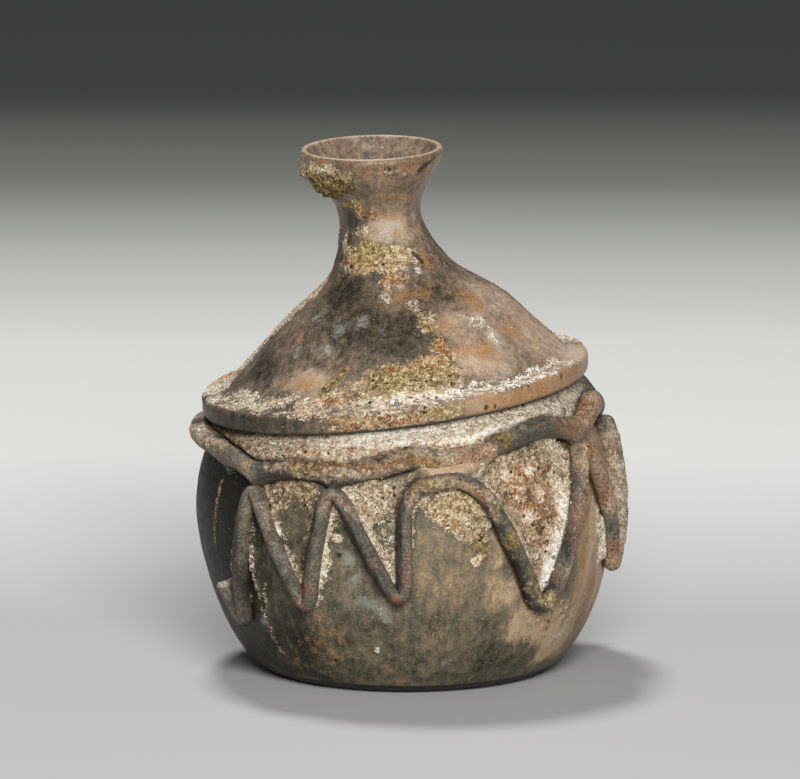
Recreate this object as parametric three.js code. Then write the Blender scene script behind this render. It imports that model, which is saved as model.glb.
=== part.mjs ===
// A small Roman glass jar with its lid, in millimetres, +Z up, standing on z = 0.
// The jar is one blown bubble with two trails laid on it hot: a thick collar round the
// shoulder, and a zigzag below it whose upper bends are drawn up to meet the collar.
// The lid is a second bubble: a cone with a folded flange, a skirt that drops into the
// jar's mouth, and a drawn-out neck with a flared lip that serves as the knob.
// Both were shaped freehand, so each is drawn upright here and then leaned.
import * as THREE from "three";

// Jar: radii of the wall, and heights above the table
const bellyRadius = 38.75;
const bellyHeight = 30;
const restingRadius = 25;
const restingWidth = 2.6;
const shoulderRadius = 34;
const shoulderHeight = 48.8;
const rimHeight = 51.4;
const wallThickness = 1.9;
const floorThickness = 2.4;
const baseHollow = 2.5;
const scarThickness = 1;

// Lid, measured up from the plane where its flange sits on the jar's rim
const seatGap = 0.3;
const skirtDepth = 5;
const skirtClearance = 0.9;
const flangeRadius = 36.2;
const flangeHeight = 3.9;
const flangeLedge = 3.6;
const neckRadius = 7.5;
const lipRadius = 13.3;
const lidHeight = 46.4;
const lidWall = 1.7;
// The blown cone and neck above the ledge, as radius and height
const lidOutside = [
  [flangeRadius - flangeLedge, flangeHeight + 0.2],
  [26.6, 10],
  [20.7, 16],
  [12.8, 22],
  [9.9, 26.2],
  [8.3, 30],
  [neckRadius, 33.6],
  [8.2, 36.8],
  [9.9, 40],
  [12, 43.2],
  [lipRadius, lidHeight - 1],
];

// Trails: threads of hot glass wound on round the jar
const trailWidth = 3.1;
const trailDepth = 3.1;
const fusedGap = 0.3;
const collarHeight = 47.3;
const collarRadius = 39.1;
const collarLeast = 3.4;
const collarOpenDegrees = 13;
const collarEndDegrees = 9;
const collarEndSize = 0.45;
const zigzagTail = 14;
const zigzagTailSize = 0.35;

// Where the collar wanders: degrees round from the front towards +X, how far its middle is
// above collarHeight, and how tall it is there. It was pinched down wherever the zigzag
// comes up to meet it.
const collarCourse = [
  { degrees: -138, up: -2.4, tall: 4.2 },
  { degrees: -120, up: 0.3, tall: 4.4 },
  { degrees: -95, up: 0.7, tall: 5 },
  { degrees: -70, up: 0.1, tall: 5.2 },
  { degrees: -56, up: -1.7, tall: 5 },
  { degrees: -44, up: -3.7, tall: 4.6 },
  { degrees: -32, up: -2.7, tall: 4.2 },
  { degrees: -26, up: -2.8, tall: 4.2 },
  { degrees: -17, up: -3.5, tall: 4.2 },
  { degrees: -6, up: -2.2, tall: 4.3 },
  { degrees: 4, up: -1.2, tall: 4.2 },
  { degrees: 14, up: -2.1, tall: 3.9 },
  { degrees: 24, up: -2.3, tall: 3.9 },
  { degrees: 31, up: -0.6, tall: 3.7 },
  { degrees: 46, up: 0.4, tall: 3.5 },
  { degrees: 64, up: -1.7, tall: 3.8 },
  { degrees: 80, up: 0.2, tall: 4.2 },
  { degrees: 99, up: -1.6, tall: 4.2 },
  { degrees: 119, up: 0.6, tall: 4.4 },
  { degrees: 139, up: -2.6, tall: 4.2 },
  { degrees: 160, up: 0.4, tall: 4.4 },
  { degrees: 179, up: -2.2, tall: 4.2 },
  { degrees: 200, up: 0.5, tall: 4.4 },
  { degrees: 220, up: -1.4, tall: 4.2 },
];

// How far the axis has strayed to +X, and how far the ring there is tipped up on the
// +X side, at a few heights. The upper jar leans towards -X, and the lid's neck more so.
const jarLean = [
  { height: 0, shift: -0.2, tilt: 0 },
  { height: 14, shift: -0.2, tilt: 0.3 },
  { height: 30, shift: -0.8, tilt: 1.5 },
  { height: 40, shift: -1.4, tilt: 3.2 },
  { height: 46, shift: -1.9, tilt: 4.2 },
  { height: 51.7, shift: -2.4, tilt: 6.8 },
];
const lidLean = [
  { height: 0, shift: 0, tilt: 0 },
  { height: 4, shift: 0.4, tilt: 0 },
  { height: 10, shift: 1.3, tilt: 0 },
  { height: 16, shift: 2.1, tilt: 0 },
  { height: 22, shift: 2.1, tilt: 0 },
  { height: 27, shift: 1.7, tilt: -1.4 },
  { height: 33.2, shift: 1.25, tilt: -3.6 },
  { height: 46.6, shift: 1.1, tilt: -5.4 },
];

// The zigzag's bends, as degrees, height and roundness. The upper ones have no height of
// their own: they are drawn up to the collar. It starts at a broken stub and ends in a
// drawn-out tail, so its left side is bare.
const meetsCollar = null;
const zigzagBends = [
  [-60.4, 20.3, 0],
  [-55.3, 13.7, 3],
  [-44, meetsCollar, 4],
  [-28.8, 18.9, 3.5],
  [-18.8, meetsCollar, 5],
  [-2, 21.1, 5],
  [2.8, 39.3, 4],
  [12.3, meetsCollar, 5],
  [20.5, 40, 4],
  [41.2, 17.5, 5],
  [62.2, meetsCollar, 6],
  [80, 20.4, 4.5],
  [99, meetsCollar, 6],
  [120, 18, 4.5],
  [139, meetsCollar, 6],
  [160, 19.4, 4.5],
  [179, meetsCollar, 6],
  [201, 17.4, 4.5],
  [219, meetsCollar, 6],
  [235, 24, 0],
];

const jarSegments = 52;
const lidSegments = 52;
const scarSegments = 24;
const collarSteps = 100;
const zigzagStep = 2.9;
const trailSides = 8;
const radian = Math.PI / 180;
const mmPerDegree = bellyRadius * radian;

const smooth = (t) => t * t * (3 - 2 * t);
const clamp = THREE.MathUtils.clamp;

// The shift and tilt of the axis at any height, eased between the given stations.
function leanAt(stations, height) {
  const last = stations.length - 1;
  const above = stations.findIndex((s) => s.height > height);
  const j = above < 0 ? last : Math.max(above, 1);
  const low = stations[j - 1];
  const high = stations[j];
  const t = clamp((height - low.height) / (high.height - low.height), 0, 1);
  const before = stations[Math.max(j - 2, 0)];
  const after = stations[Math.min(j + 1, last)];
  const run = (key) => {
    const span = high.height - low.height;
    const rise = (a, b) => ((b[key] - a[key]) / (b.height - a.height)) * span;
    const slopeLow = rise(before, high);
    const slopeHigh = rise(low, after);
    const u = 1 - t;
    return (
      (1 + 2 * t) * u * u * low[key] +
      t * u * u * slopeLow +
      t * t * (3 - 2 * t) * high[key] -
      t * t * u * slopeHigh
    );
  };
  return { shift: run("shift"), tilt: run("tilt") * radian };
}

function leanPoint(stations, p) {
  const { shift, tilt } = leanAt(stations, p.z);
  return p.set(shift + p.x * Math.cos(tilt), p.y, p.z + p.x * Math.sin(tilt));
}

// A profile of radius and height turned round the upright axis, then leaned.
function revolve(profile, segments, stations) {
  const geometry = new THREE.LatheGeometry(profile, segments);
  geometry.rotateX(Math.PI / 2);
  const place = geometry.getAttribute("position");
  const p = new THREE.Vector3();
  for (let i = 0; i < place.count; i++) {
    leanPoint(stations, p.fromBufferAttribute(place, i));
    place.setXYZ(i, p.x, p.y, p.z);
  }
  geometry.computeVertexNormals();
  return geometry;
}

// Degrees round from the front, radius and height to a point of the upright jar.
function roundPoint(degrees, radius, height) {
  const a = degrees * radian;
  return new THREE.Vector3(radius * Math.sin(a), -radius * Math.cos(a), height);
}

// A closed skin over a row of rings with equally many points, capped at both ends.
function loft(rings) {
  const sides = rings[0].length;
  const points = rings.flat();
  const index = [];
  for (let i = 0; i + 1 < rings.length; i++) {
    for (let k = 0; k < sides; k++) {
      const a = i * sides + k;
      const b = i * sides + ((k + 1) % sides);
      index.push(a, b, a + sides, b, b + sides, a + sides);
    }
  }
  [0, rings.length - 1].forEach((i) => {
    const middle = rings[i]
      .reduce((sum, p) => sum.add(p), new THREE.Vector3())
      .divideScalar(sides);
    const centre = points.push(middle) - 1;
    for (let k = 0; k < sides; k++) {
      const a = i * sides + k;
      const b = i * sides + ((k + 1) % sides);
      index.push(centre, i ? a : b, i ? b : a);
    }
  });
  const geometry = new THREE.BufferGeometry().setFromPoints(points);
  geometry.setIndex(index);
  geometry.computeVertexNormals();
  return geometry;
}

// Underside of the jar's base, from its middle out to the resting ring.
function baseUnderside() {
  const edge = restingRadius - restingWidth;
  return new THREE.CubicBezierCurve(
    new THREE.Vector2(0, baseHollow),
    new THREE.Vector2(edge * 0.5, baseHollow),
    new THREE.Vector2(edge - 5, 0.5),
    new THREE.Vector2(edge, 0),
  );
}

// Outside of the jar, as two curves that meet at the belly.
function jarOutside() {
  const belly = new THREE.CubicBezierCurve(
    new THREE.Vector2(restingRadius, 0),
    new THREE.Vector2(restingRadius + 6, 0),
    new THREE.Vector2(bellyRadius - 0.4, bellyHeight - 15),
    new THREE.Vector2(bellyRadius, bellyHeight),
  );
  const shoulder = new THREE.CubicBezierCurve(
    belly.v3,
    new THREE.Vector2(bellyRadius, bellyHeight + 9),
    new THREE.Vector2(shoulderRadius + 2, shoulderHeight - 5.4),
    new THREE.Vector2(shoulderRadius, shoulderHeight),
  );
  return [belly, shoulder];
}

// Radius of the jar's outside at a height, read off its two curves by bisection.
function outsideRadius(height) {
  const [belly, shoulder] = jarOutside();
  const curve = height < bellyHeight ? belly : shoulder;
  if (height >= shoulderHeight) return shoulderRadius;
  let low = 0;
  let high = 1;
  for (let i = 0; i < 30; i++) {
    const middle = (low + high) / 2;
    if (curve.getPoint(middle).y < height) low = middle;
    else high = middle;
  }
  return curve.getPoint(low).x;
}

function jarBody() {
  const [belly, shoulder] = jarOutside();
  const lipRound = wallThickness / 2;
  const rimRadius = shoulderRadius - 0.2;
  const inRadius = rimRadius - wallThickness;
  const outline = new THREE.Path();
  const under = baseUnderside();
  outline.moveTo(0, baseHollow);
  outline.bezierCurveTo(under.v1.x, under.v1.y, under.v2.x, under.v2.y, under.v3.x, under.v3.y);
  outline.lineTo(restingRadius, 0);
  outline.bezierCurveTo(belly.v1.x, belly.v1.y, belly.v2.x, belly.v2.y, belly.v3.x, belly.v3.y);
  outline.bezierCurveTo(
    shoulder.v1.x, shoulder.v1.y, shoulder.v2.x, shoulder.v2.y, shoulder.v3.x, shoulder.v3.y,
  );
  outline.lineTo(rimRadius, rimHeight - lipRound);
  outline.absarc(rimRadius - lipRound, rimHeight - lipRound, lipRound, 0, Math.PI, false);
  outline.lineTo(inRadius + 0.2, shoulderHeight - 0.6);
  outline.bezierCurveTo(
    inRadius + 2, shoulderHeight - 6,
    bellyRadius - wallThickness, bellyHeight + 8,
    bellyRadius - wallThickness, bellyHeight,
  );
  outline.bezierCurveTo(
    bellyRadius - wallThickness, bellyHeight - 15,
    restingRadius + 7, floorThickness,
    restingRadius - 3, floorThickness + 0.6,
  );
  outline.bezierCurveTo(
    restingRadius * 0.6, floorThickness + 1.2,
    restingRadius * 0.3, baseHollow + floorThickness,
    0, baseHollow + floorThickness,
  );
  return revolve(outline.getPoints(4), jarSegments, jarLean);
}

// The ring of glass left where the iron rod that held the jar was cracked off its base.
function pontilScar() {
  const from = 0.15;
  const to = 0.29;
  const steps = 6;
  const above = [];
  const below = [];
  for (let i = 0; i <= steps; i++) {
    const p = baseUnderside().getPoint(from + (to - from) * (i / steps));
    const top = p.y - fusedGap - 0.05;
    above.push(new THREE.Vector2(p.x, top));
    if (i && i < steps) {
      below.push(new THREE.Vector2(p.x, top - scarThickness * Math.sin((i / steps) * Math.PI)));
    }
  }
  return revolve([...below, ...above.reverse(), below[0].clone()], scarSegments, jarLean);
}

// Height of the collar's middle at an angle, and how tall it is, eased along its course.
function collarAt(degrees) {
  const first = collarCourse[0];
  const course = [...collarCourse, { ...first, degrees: first.degrees + 360 }];
  const a = THREE.MathUtils.euclideanModulo(degrees - first.degrees, 360) + first.degrees;
  const j = course.findIndex((s) => s.degrees > a);
  const low = course[j - 1];
  const high = course[j];
  const t = smooth((a - low.degrees) / (high.degrees - low.degrees));
  return {
    middle: collarHeight + THREE.MathUtils.lerp(low.up, high.up, t),
    tall: THREE.MathUtils.lerp(low.tall, high.tall, t),
  };
}

// Height at which the zigzag's middle comes up against the collar.
function belowCollar(degrees) {
  const { middle, tall } = collarAt(degrees);
  return middle - tall / 2 - fusedGap - trailWidth / 2;
}

// A flat line through the zigzag's bends, in mm unrolled at the belly, with each corner
// pushed out so that the rounded line still reaches the bend.
function zigzagLine() {
  const bends = zigzagBends.map(([a, z]) => {
    return new THREE.Vector2(a * mmPerDegree, z ?? belowCollar(a));
  });
  const line = new THREE.Path();
  line.moveTo(bends[0].x, bends[0].y);
  for (let i = 1; i + 1 < bends.length; i++) {
    const soft = zigzagBends[i][2];
    const towards = (p) => p.clone().sub(bends[i]).setLength(soft);
    const before = towards(bends[i - 1]);
    const after = towards(bends[i + 1]);
    const corner = bends[i].clone().sub(before.clone().add(after).multiplyScalar(0.25));
    const enter = corner.clone().add(before);
    const leave = corner.clone().add(after);
    line.lineTo(enter.x, enter.y);
    line.quadraticCurveTo(corner.x, corner.y, leave.x, leave.y);
  }
  const tail = bends[bends.length - 1];
  line.lineTo(tail.x, tail.y);
  return line;
}

// Radius that the zigzag lies on: the wall up to the belly, and above it a little off
// the wall, where each upper bend is drawn out and up to the collar.
function trailSeat(height) {
  return (outsideRadius(height) + outsideRadius(Math.min(height, bellyHeight))) / 2;
}

function zigzagTrail() {
  const line = zigzagLine();
  const steps = Math.round(line.getLength() / zigzagStep);
  const rings = [];
  for (let i = 0; i <= steps; i++) {
    const along = i / steps;
    const middle = line.getPointAt(along);
    const heading = line.getTangentAt(along);
    const left = (1 - along) * line.getLength();
    const size = THREE.MathUtils.lerp(zigzagTailSize, 1, smooth(Math.min(left / zigzagTail, 1)));
    const ring = [];
    for (let k = 0; k < trailSides; k++) {
      const turn = ((k + 0.5) / trailSides) * 2 * Math.PI;
      const across = (trailWidth / 2) * size * Math.cos(turn);
      const out = trailDepth * size * (0.5 + 0.5 * Math.sin(turn));
      const height = middle.y + heading.x * across;
      const degrees = (middle.x - heading.y * across) / mmPerDegree;
      const seat = trailSeat(height);
      const slope = (trailSeat(height + 0.1) - trailSeat(height - 0.1)) / 0.2;
      const lift = (fusedGap + out) / Math.hypot(1, slope);
      ring.push(leanPoint(jarLean, roundPoint(degrees, seat + lift, height - lift * slope)));
    }
    rings.push(ring);
  }
  return loft(rings);
}

// The collar goes almost all the way round; its two thinned ends stop short of each other
// at the back.
function collarTrail() {
  const span = 360 - collarOpenDegrees;
  const start = collarCourse[0].degrees;
  const rings = [];
  for (let i = 0; i <= collarSteps; i++) {
    const along = i / collarSteps;
    const degrees = start + along * span;
    const fromEnd = Math.min(along, 1 - along) * span;
    const thick = smooth(Math.min(fromEnd / collarEndDegrees, 1));
    const size = THREE.MathUtils.lerp(collarEndSize, 1, thick);
    const { middle, tall } = collarAt(degrees);
    const inside = outsideRadius(middle) + fusedGap;
    const outside = Math.max(collarRadius, inside + collarLeast);
    const ring = [];
    for (let k = 0; k < trailSides; k++) {
      const turn = ((k + 0.5) / trailSides) * 2 * Math.PI;
      const height = middle + (tall / 2) * size * Math.sin(turn);
      const wall = outsideRadius(height) + fusedGap + 0.05;
      const reach = (outside - inside) * size * (0.5 + 0.5 * Math.cos(turn));
      ring.push(leanPoint(jarLean, roundPoint(degrees, Math.max(inside + reach, wall), height)));
    }
    rings.push(ring.reverse());
  }
  return loft(rings);
}

function lidShell() {
  const mouthRadius = shoulderRadius - 0.2 - wallThickness;
  const skirt = mouthRadius - skirtClearance;
  const skirtInside = skirt - lidWall;
  const fold = 1.2;
  const lipRound = lidWall / 2;
  const bubble = new THREE.SplineCurve(lidOutside.map(([r, z]) => new THREE.Vector2(r, z)));
  const steps = 15;
  const outside = bubble.getPoints(steps);
  const inside = outside
    .map((p, i) => {
      const along = bubble.getTangent(i / steps);
      return new THREE.Vector2(p.x - along.y * lidWall, p.y + along.x * lidWall);
    })
    .filter((p) => p.x < skirtInside - 0.3)
    .reverse();
  const outline = new THREE.Path();
  outline.moveTo(skirtInside, -skirtDepth + 0.4);
  outline.lineTo(skirtInside + 0.5, -skirtDepth);
  outline.lineTo(skirt - 0.5, -skirtDepth);
  outline.lineTo(skirt, -skirtDepth + 0.5);
  outline.lineTo(skirt, -0.4);
  outline.lineTo(skirt + 0.4, 0);
  outline.absarc(flangeRadius - fold, fold, fold, -Math.PI / 2, 0, false);
  outline.absarc(flangeRadius - fold, flangeHeight - fold, fold, 0, Math.PI / 2, false);
  const lip = outside[steps].clone().add(inside[0]).multiplyScalar(0.5);
  const rimOfLip = new THREE.Path();
  rimOfLip.absarc(lip.x, lip.y, lipRound, -0.5, Math.PI - 0.5, false);
  const profile = [
    ...outline.getPoints(2),
    ...outside.slice(0, steps),
    ...rimOfLip.getPoints(2),
    ...inside.slice(1),
    new THREE.Vector2(skirtInside, flangeHeight - 1),
    new THREE.Vector2(skirtInside, -skirtDepth + 0.4),
  ];
  return revolve(profile, lidSegments, lidLean);
}

// Colours of the weathered glass: a dark grey skin with brown and tan crusts over it
const darkGlass = new THREE.MeshStandardMaterial({ color: 0x6a6457, roughness: 0.62, metalness: 0 });
const brownGlass = new THREE.MeshStandardMaterial({ color: 0x8c7760, roughness: 0.6, metalness: 0 });
const trailGlass = new THREE.MeshStandardMaterial({ color: 0x6e655a, roughness: 0.5, metalness: 0 });

function piece(name, geometry, material) {
  const mesh = new THREE.Mesh(geometry, material);
  mesh.name = name;
  return mesh;
}

const jar = new THREE.Group();
jar.add(
  piece("jar_body", jarBody(), darkGlass),
  piece("collar_trail", collarTrail(), trailGlass),
  piece("zigzag_trail", zigzagTrail(), trailGlass),
  piece("pontil_scar", pontilScar(), darkGlass),
);

// The lid stands on the tipped rim, square to it.
const rim = leanAt(jarLean, rimHeight + seatGap);
const lid = new THREE.Group();
lid.add(piece("lid_shell", lidShell(), brownGlass));
lid.position.set(rim.shift, 0, rimHeight + seatGap);
lid.rotation.y = -rim.tilt;

const vessel = new THREE.Group();
vessel.add(jar, lid);

export default vessel;
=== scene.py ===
import itertools
import math

import bpy
import numpy as np
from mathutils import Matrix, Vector


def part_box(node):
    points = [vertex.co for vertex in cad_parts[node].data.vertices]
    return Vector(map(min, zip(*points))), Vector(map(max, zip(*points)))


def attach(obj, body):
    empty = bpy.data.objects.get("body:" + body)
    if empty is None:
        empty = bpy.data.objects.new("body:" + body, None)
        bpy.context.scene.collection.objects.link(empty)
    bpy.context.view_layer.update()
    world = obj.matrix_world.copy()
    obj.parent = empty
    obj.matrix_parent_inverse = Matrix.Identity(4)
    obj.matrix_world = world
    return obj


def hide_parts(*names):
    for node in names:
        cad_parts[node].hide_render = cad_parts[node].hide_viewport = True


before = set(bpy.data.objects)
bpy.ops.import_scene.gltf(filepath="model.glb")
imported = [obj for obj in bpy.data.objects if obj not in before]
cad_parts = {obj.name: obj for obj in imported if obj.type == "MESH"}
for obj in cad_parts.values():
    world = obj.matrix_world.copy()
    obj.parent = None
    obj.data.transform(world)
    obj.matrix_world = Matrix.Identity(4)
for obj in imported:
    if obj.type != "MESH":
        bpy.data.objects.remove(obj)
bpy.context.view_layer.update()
scene = bpy.context.scene
MM = 0.001

# Camera
# A long lens from a little above, so the vessel's rings are flat ellipses and its sides
# stay almost parallel.
photo_size = (800, 779)
pixels_per_mm = 5.345
foot_pixel = (408.2, 663)
camera_elevation = math.radians(12)
camera_distance = 3500
sensor_width = 36
farthest_seen = 20


def placed(name, data):
    """A new object in the scene, at the origin."""
    made = bpy.data.objects.new(name, data)
    scene.collection.objects.link(made)
    return made


camera = placed("camera", bpy.data.cameras.new("camera"))
scene.camera = camera
camera.data.sensor_width = sensor_width
camera.data.sensor_fit = "HORIZONTAL"
camera.data.lens = sensor_width * camera_distance * pixels_per_mm / photo_size[0]
camera.data.clip_end = farthest_seen
camera_up = Vector((0, math.sin(camera_elevation), math.cos(camera_elevation)))
camera_back = Vector((0, -math.cos(camera_elevation), math.sin(camera_elevation)))
middle_right = (photo_size[0] / 2 - foot_pixel[0]) / pixels_per_mm
middle_up = (foot_pixel[1] - photo_size[1] / 2) / pixels_per_mm
line_of_sight = Vector((middle_right, 0, 0)) + camera_up * middle_up - camera_back * camera_distance
camera.location = camera_back * camera_distance * MM
camera.rotation_euler = line_of_sight.to_track_quat("-Z", "Y").to_euler()

# Jar body
# One blown bubble of green-grey glass, pushed in at the base and drawn in to a short
# upright rim. Burial has turned its skin opaque and left a sandy crust on it, so the
# wall is turned from its profile, weathered in patches, and leaned as the real one leans.
belly_radius, belly_height = 38.75, 30
resting_radius, resting_width = 25, 2.6
shoulder_radius, shoulder_height = 34, 48.8
rim_height, wall_thickness = 51.4, 1.9
floor_thickness, base_hollow = 2.4, 2.5
crust_thickness, pit_depth = 0.18, 0.35
heap_thickness, web_thickness = 1.2, 2.7
# Steps between the points of the mesh, down the outside and the inside and round
outside_step, inside_step, jar_columns = 0.52, 1.9, 460
# Height, how far the axis has strayed to +X, and degrees that the ring there is tipped
jar_lean = np.array([
    (0, -0.2, 0), (14, -0.2, 0.3), (30, -0.8, 1.5), (40, -1.4, 3.2), (46, -1.9, 4.2), (51.7, -2.4, 6.8),
])


def bezier(a, b, c, d, steps):
    t = np.linspace(0, 1, steps + 1)[:, None]
    a, b, c, d = (np.array(p, float) for p in (a, b, c, d))
    return a * (1 - t) ** 3 + 3 * b * t * (1 - t) ** 2 + 3 * c * t * t * (1 - t) + d * t ** 3


def arc(middle, radius, start, end, steps):
    a = np.radians(np.linspace(start, end, steps + 1))
    return np.stack([middle[0] + radius * np.cos(a), middle[1] + radius * np.sin(a)], -1)


def even(line, step):
    """The same line, with points at about equal steps."""
    along = np.concatenate([[0], np.cumsum(np.linalg.norm(np.diff(line, axis=0), axis=1))])
    at = np.linspace(0, along[-1], int(round(along[-1] / step)) + 1)
    return np.stack([np.interp(at, along, line[:, k]) for k in range(line.shape[1])], -1)


def eased(stations, column, at):
    """A smooth curve through the stations' values, held level past both ends."""
    x, y = stations[:, 0], stations[:, column]
    slope = np.gradient(y, x)
    slope[1:-1] = (y[2:] - y[:-2]) / (x[2:] - x[:-2])
    j = np.clip(np.searchsorted(x, at), 1, len(x) - 1)
    width = x[j] - x[j - 1]
    t = np.clip((at - x[j - 1]) / width, 0, 1)
    low = (1 + 2 * t) * (1 - t) ** 2 * y[j - 1] + t * (1 - t) ** 2 * slope[j - 1] * width
    return low + t * t * (3 - 2 * t) * y[j] - t * t * (1 - t) * slope[j] * width


def lean(points, stations):
    """The points on an axis that strays, with the ring at each height tipped."""
    shift = eased(stations, 1, points[..., 2])
    tilt = np.radians(eased(stations, 2, points[..., 2]))
    x = shift + points[..., 0] * np.cos(tilt)
    return np.stack([x, points[..., 1], points[..., 2] + points[..., 0] * np.sin(tilt)], -1)


def smoothstep(low, high, x):
    t = np.clip((x - low) / (high - low), 0, 1)
    return t * t * (3 - 2 * t)


def cloud(points, size, seed, octaves=3):
    """Gradient noise of about -1 to 1, whose largest lumps are size mm across."""
    fading, strength = 0.55, 2.2
    total, weight, weights = 0, 1.0, 0
    for octave in range(octaves):
        p = points / size * 2 ** octave + seed * 7.31 + octave * 3.17
        cell = np.floor(p).astype(np.int64)
        f = p - cell
        ease = f ** 3 * (f * (f * 6 - 15) + 10)
        value = 0
        for corner in itertools.product((0, 1), repeat=3):
            c = cell + corner
            # A hash of the corner's whole numbers gives it a push of its own
            h = c[..., 0] * 73856093 ^ c[..., 1] * 19349663 ^ c[..., 2] * 83492791 ^ seed * 40503
            h = (h ^ (h >> 13)) * 1274126177 & 0x7FFFFFFF
            h = h ^ (h >> 15)
            pushes = [((h >> 8 * axis) & 255) / 127.5 - 1 for axis in range(3)]
            push = sum(pushes[axis] * (f[..., axis] - corner[axis]) for axis in range(3))
            share = np.prod(np.where(np.array(corner) == 1, ease, 1 - ease), -1)
            value = value + share * push
        total = total + weight * value
        weights += weight
        weight *= fading
    return total / weights * strength


def at_wall(degrees, radius, height):
    """A point in mm, from its degrees round from the front to +X."""
    a = np.radians(degrees)
    return np.stack([radius * np.sin(a), -radius * np.cos(a), height + 0 * a], -1)


def ring_grid(profile, columns):
    """Profile points of radius and height, turned round the axis."""
    degrees = np.linspace(0, 360, columns, endpoint=False)
    return at_wall(degrees, profile[:, :1], profile[:, 1:])


def outward(grid, joined=False):
    """Which way is out of the glass at each point of a grid of rings."""
    around = np.roll(grid, -1, 1) - np.roll(grid, 1, 1)
    if joined:
        down = np.roll(grid, -1, 0) - np.roll(grid, 1, 0)
    else:
        down = np.gradient(grid, axis=0)
    normal = np.cross(around, down)
    normal /= np.maximum(np.linalg.norm(normal, axis=-1, keepdims=True), 1e-9)
    spoke = grid - grid.mean(1, keepdims=True)
    widest = np.linalg.norm(spoke, axis=-1).mean(1).argmax()
    return normal * np.sign((normal[widest] * spoke[widest]).sum())


def skin(name, grid, joined=False):
    """A closed mesh over rings of points in mm: its ends are capped, or joined to each other."""
    rows, columns = grid.shape[:2]
    points = grid.reshape(-1, 3)
    index = np.arange(rows * columns).reshape(rows, columns)
    if joined:
        index = np.vstack([index, index[:1]])
    a, b = index[:-1], index[1:]
    faces = np.stack([a, np.roll(a, -1, 1), np.roll(b, -1, 1), b], -1).reshape(-1, 4).tolist()
    if not joined:
        first, last = len(points), len(points) + 1
        points = np.vstack([points, grid[0].mean(0), grid[-1].mean(0)])
        ends = zip(index[0], np.roll(index[0], -1), index[-1], np.roll(index[-1], -1))
        for a0, a1, b0, b1 in ends:
            faces += [(first, int(a1), int(a0)), (last, int(b0), int(b1))]
    mesh = bpy.data.meshes.new(name)
    mesh.from_pydata((points * MM).tolist(), [], faces)
    mesh.validate()
    corners = points[np.array([f[:3] for f in faces])]
    if np.einsum("ij,ij->i", corners[:, 0], np.cross(corners[:, 1], corners[:, 2])).sum() < 0:
        mesh.flip_normals()
    mesh.shade_smooth()
    return placed(name, mesh)


def paint(piece, **layers):
    """Stores each layer of weathering and of painted shade on the mesh, for its material and its grains to
    read.
    """
    count = len(piece.data.vertices)
    for name, values in layers.items():
        flat = np.full(count, float(values.ravel()[-1]))
        flat[:values.size] = values.ravel()
        piece.data.attributes.new(name, "FLOAT", "POINT").data.foreach_set("value", flat)


def around_axis(grid):
    """Degrees round from the front, height, and radius."""
    x, y, z = grid[..., 0], grid[..., 1], grid[..., 2]
    return np.degrees(np.arctan2(x, -y)), z, np.hypot(x, y)


def straying(grid, seed, share=1):
    """The same, pushed about by a couple of mm so that a patch laid there gets a torn outline."""
    degrees, height, radius = around_axis(grid)
    aside, up = 2.4 * share * cloud(grid, 8, seed), 2 * share * cloud(grid, 7, seed + 60)
    return degrees + np.degrees(aside / np.maximum(radius, 4)), height + up, radius


def reach_of(place, patch):
    """0 in the middle of a patch of degrees, height, half width and half height; 1 on its edge."""
    degrees, height, radius = place
    turn = (degrees - patch[0] + 180) % 360 - 180
    return np.hypot(np.radians(turn) * radius / patch[2], (height - patch[1]) / patch[3])


def depth_in(place, patches):
    """How many mm deep each point lies in the nearest patch; outside them it is below 0."""
    deepest = np.full(place[0].shape, -6.0)
    for patch in patches:
        deepest = np.maximum(deepest, (1 - reach_of(place, patch)) * min(patch[2:4]))
    return deepest


def level_over(place, base, patches):
    """A level that is base all over and drifts to the fifth value of each patch in turn."""
    level = np.full(place[0].shape, float(base))
    for patch in patches:
        level = level + (patch[4] - level) * smoothstep(1.25, 0.35, reach_of(place, patch))
    return level


def scattered(rng, count, degrees, heights, sizes, levels=(0, 0)):
    """Patches at random over a stretch of the wall, each from its span of values."""
    made = []
    for _ in range(count):
        wide = rng.uniform(*sizes)
        place = rng.uniform(*degrees), rng.uniform(*heights)
        made.append((*place, wide, wide * rng.uniform(0.5, 1.6), rng.uniform(*levels)))
    return made


edge = resting_radius - resting_width
belly_curve = bezier(
    (resting_radius, 0), (resting_radius + 6, 0), (belly_radius - 0.4, belly_height - 15),
    (belly_radius, belly_height), 60,
)
shoulder_curve = bezier(
    (belly_radius, belly_height), (belly_radius, belly_height + 9),
    (shoulder_radius + 2, shoulder_height - 5.4), (shoulder_radius, shoulder_height), 40,
)
wall_curve = np.vstack([belly_curve, shoulder_curve[1:]])


def wall_radius(height):
    """The jar's outside radius at a height."""
    return np.interp(height, wall_curve[:, 1], wall_curve[:, 0])


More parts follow.
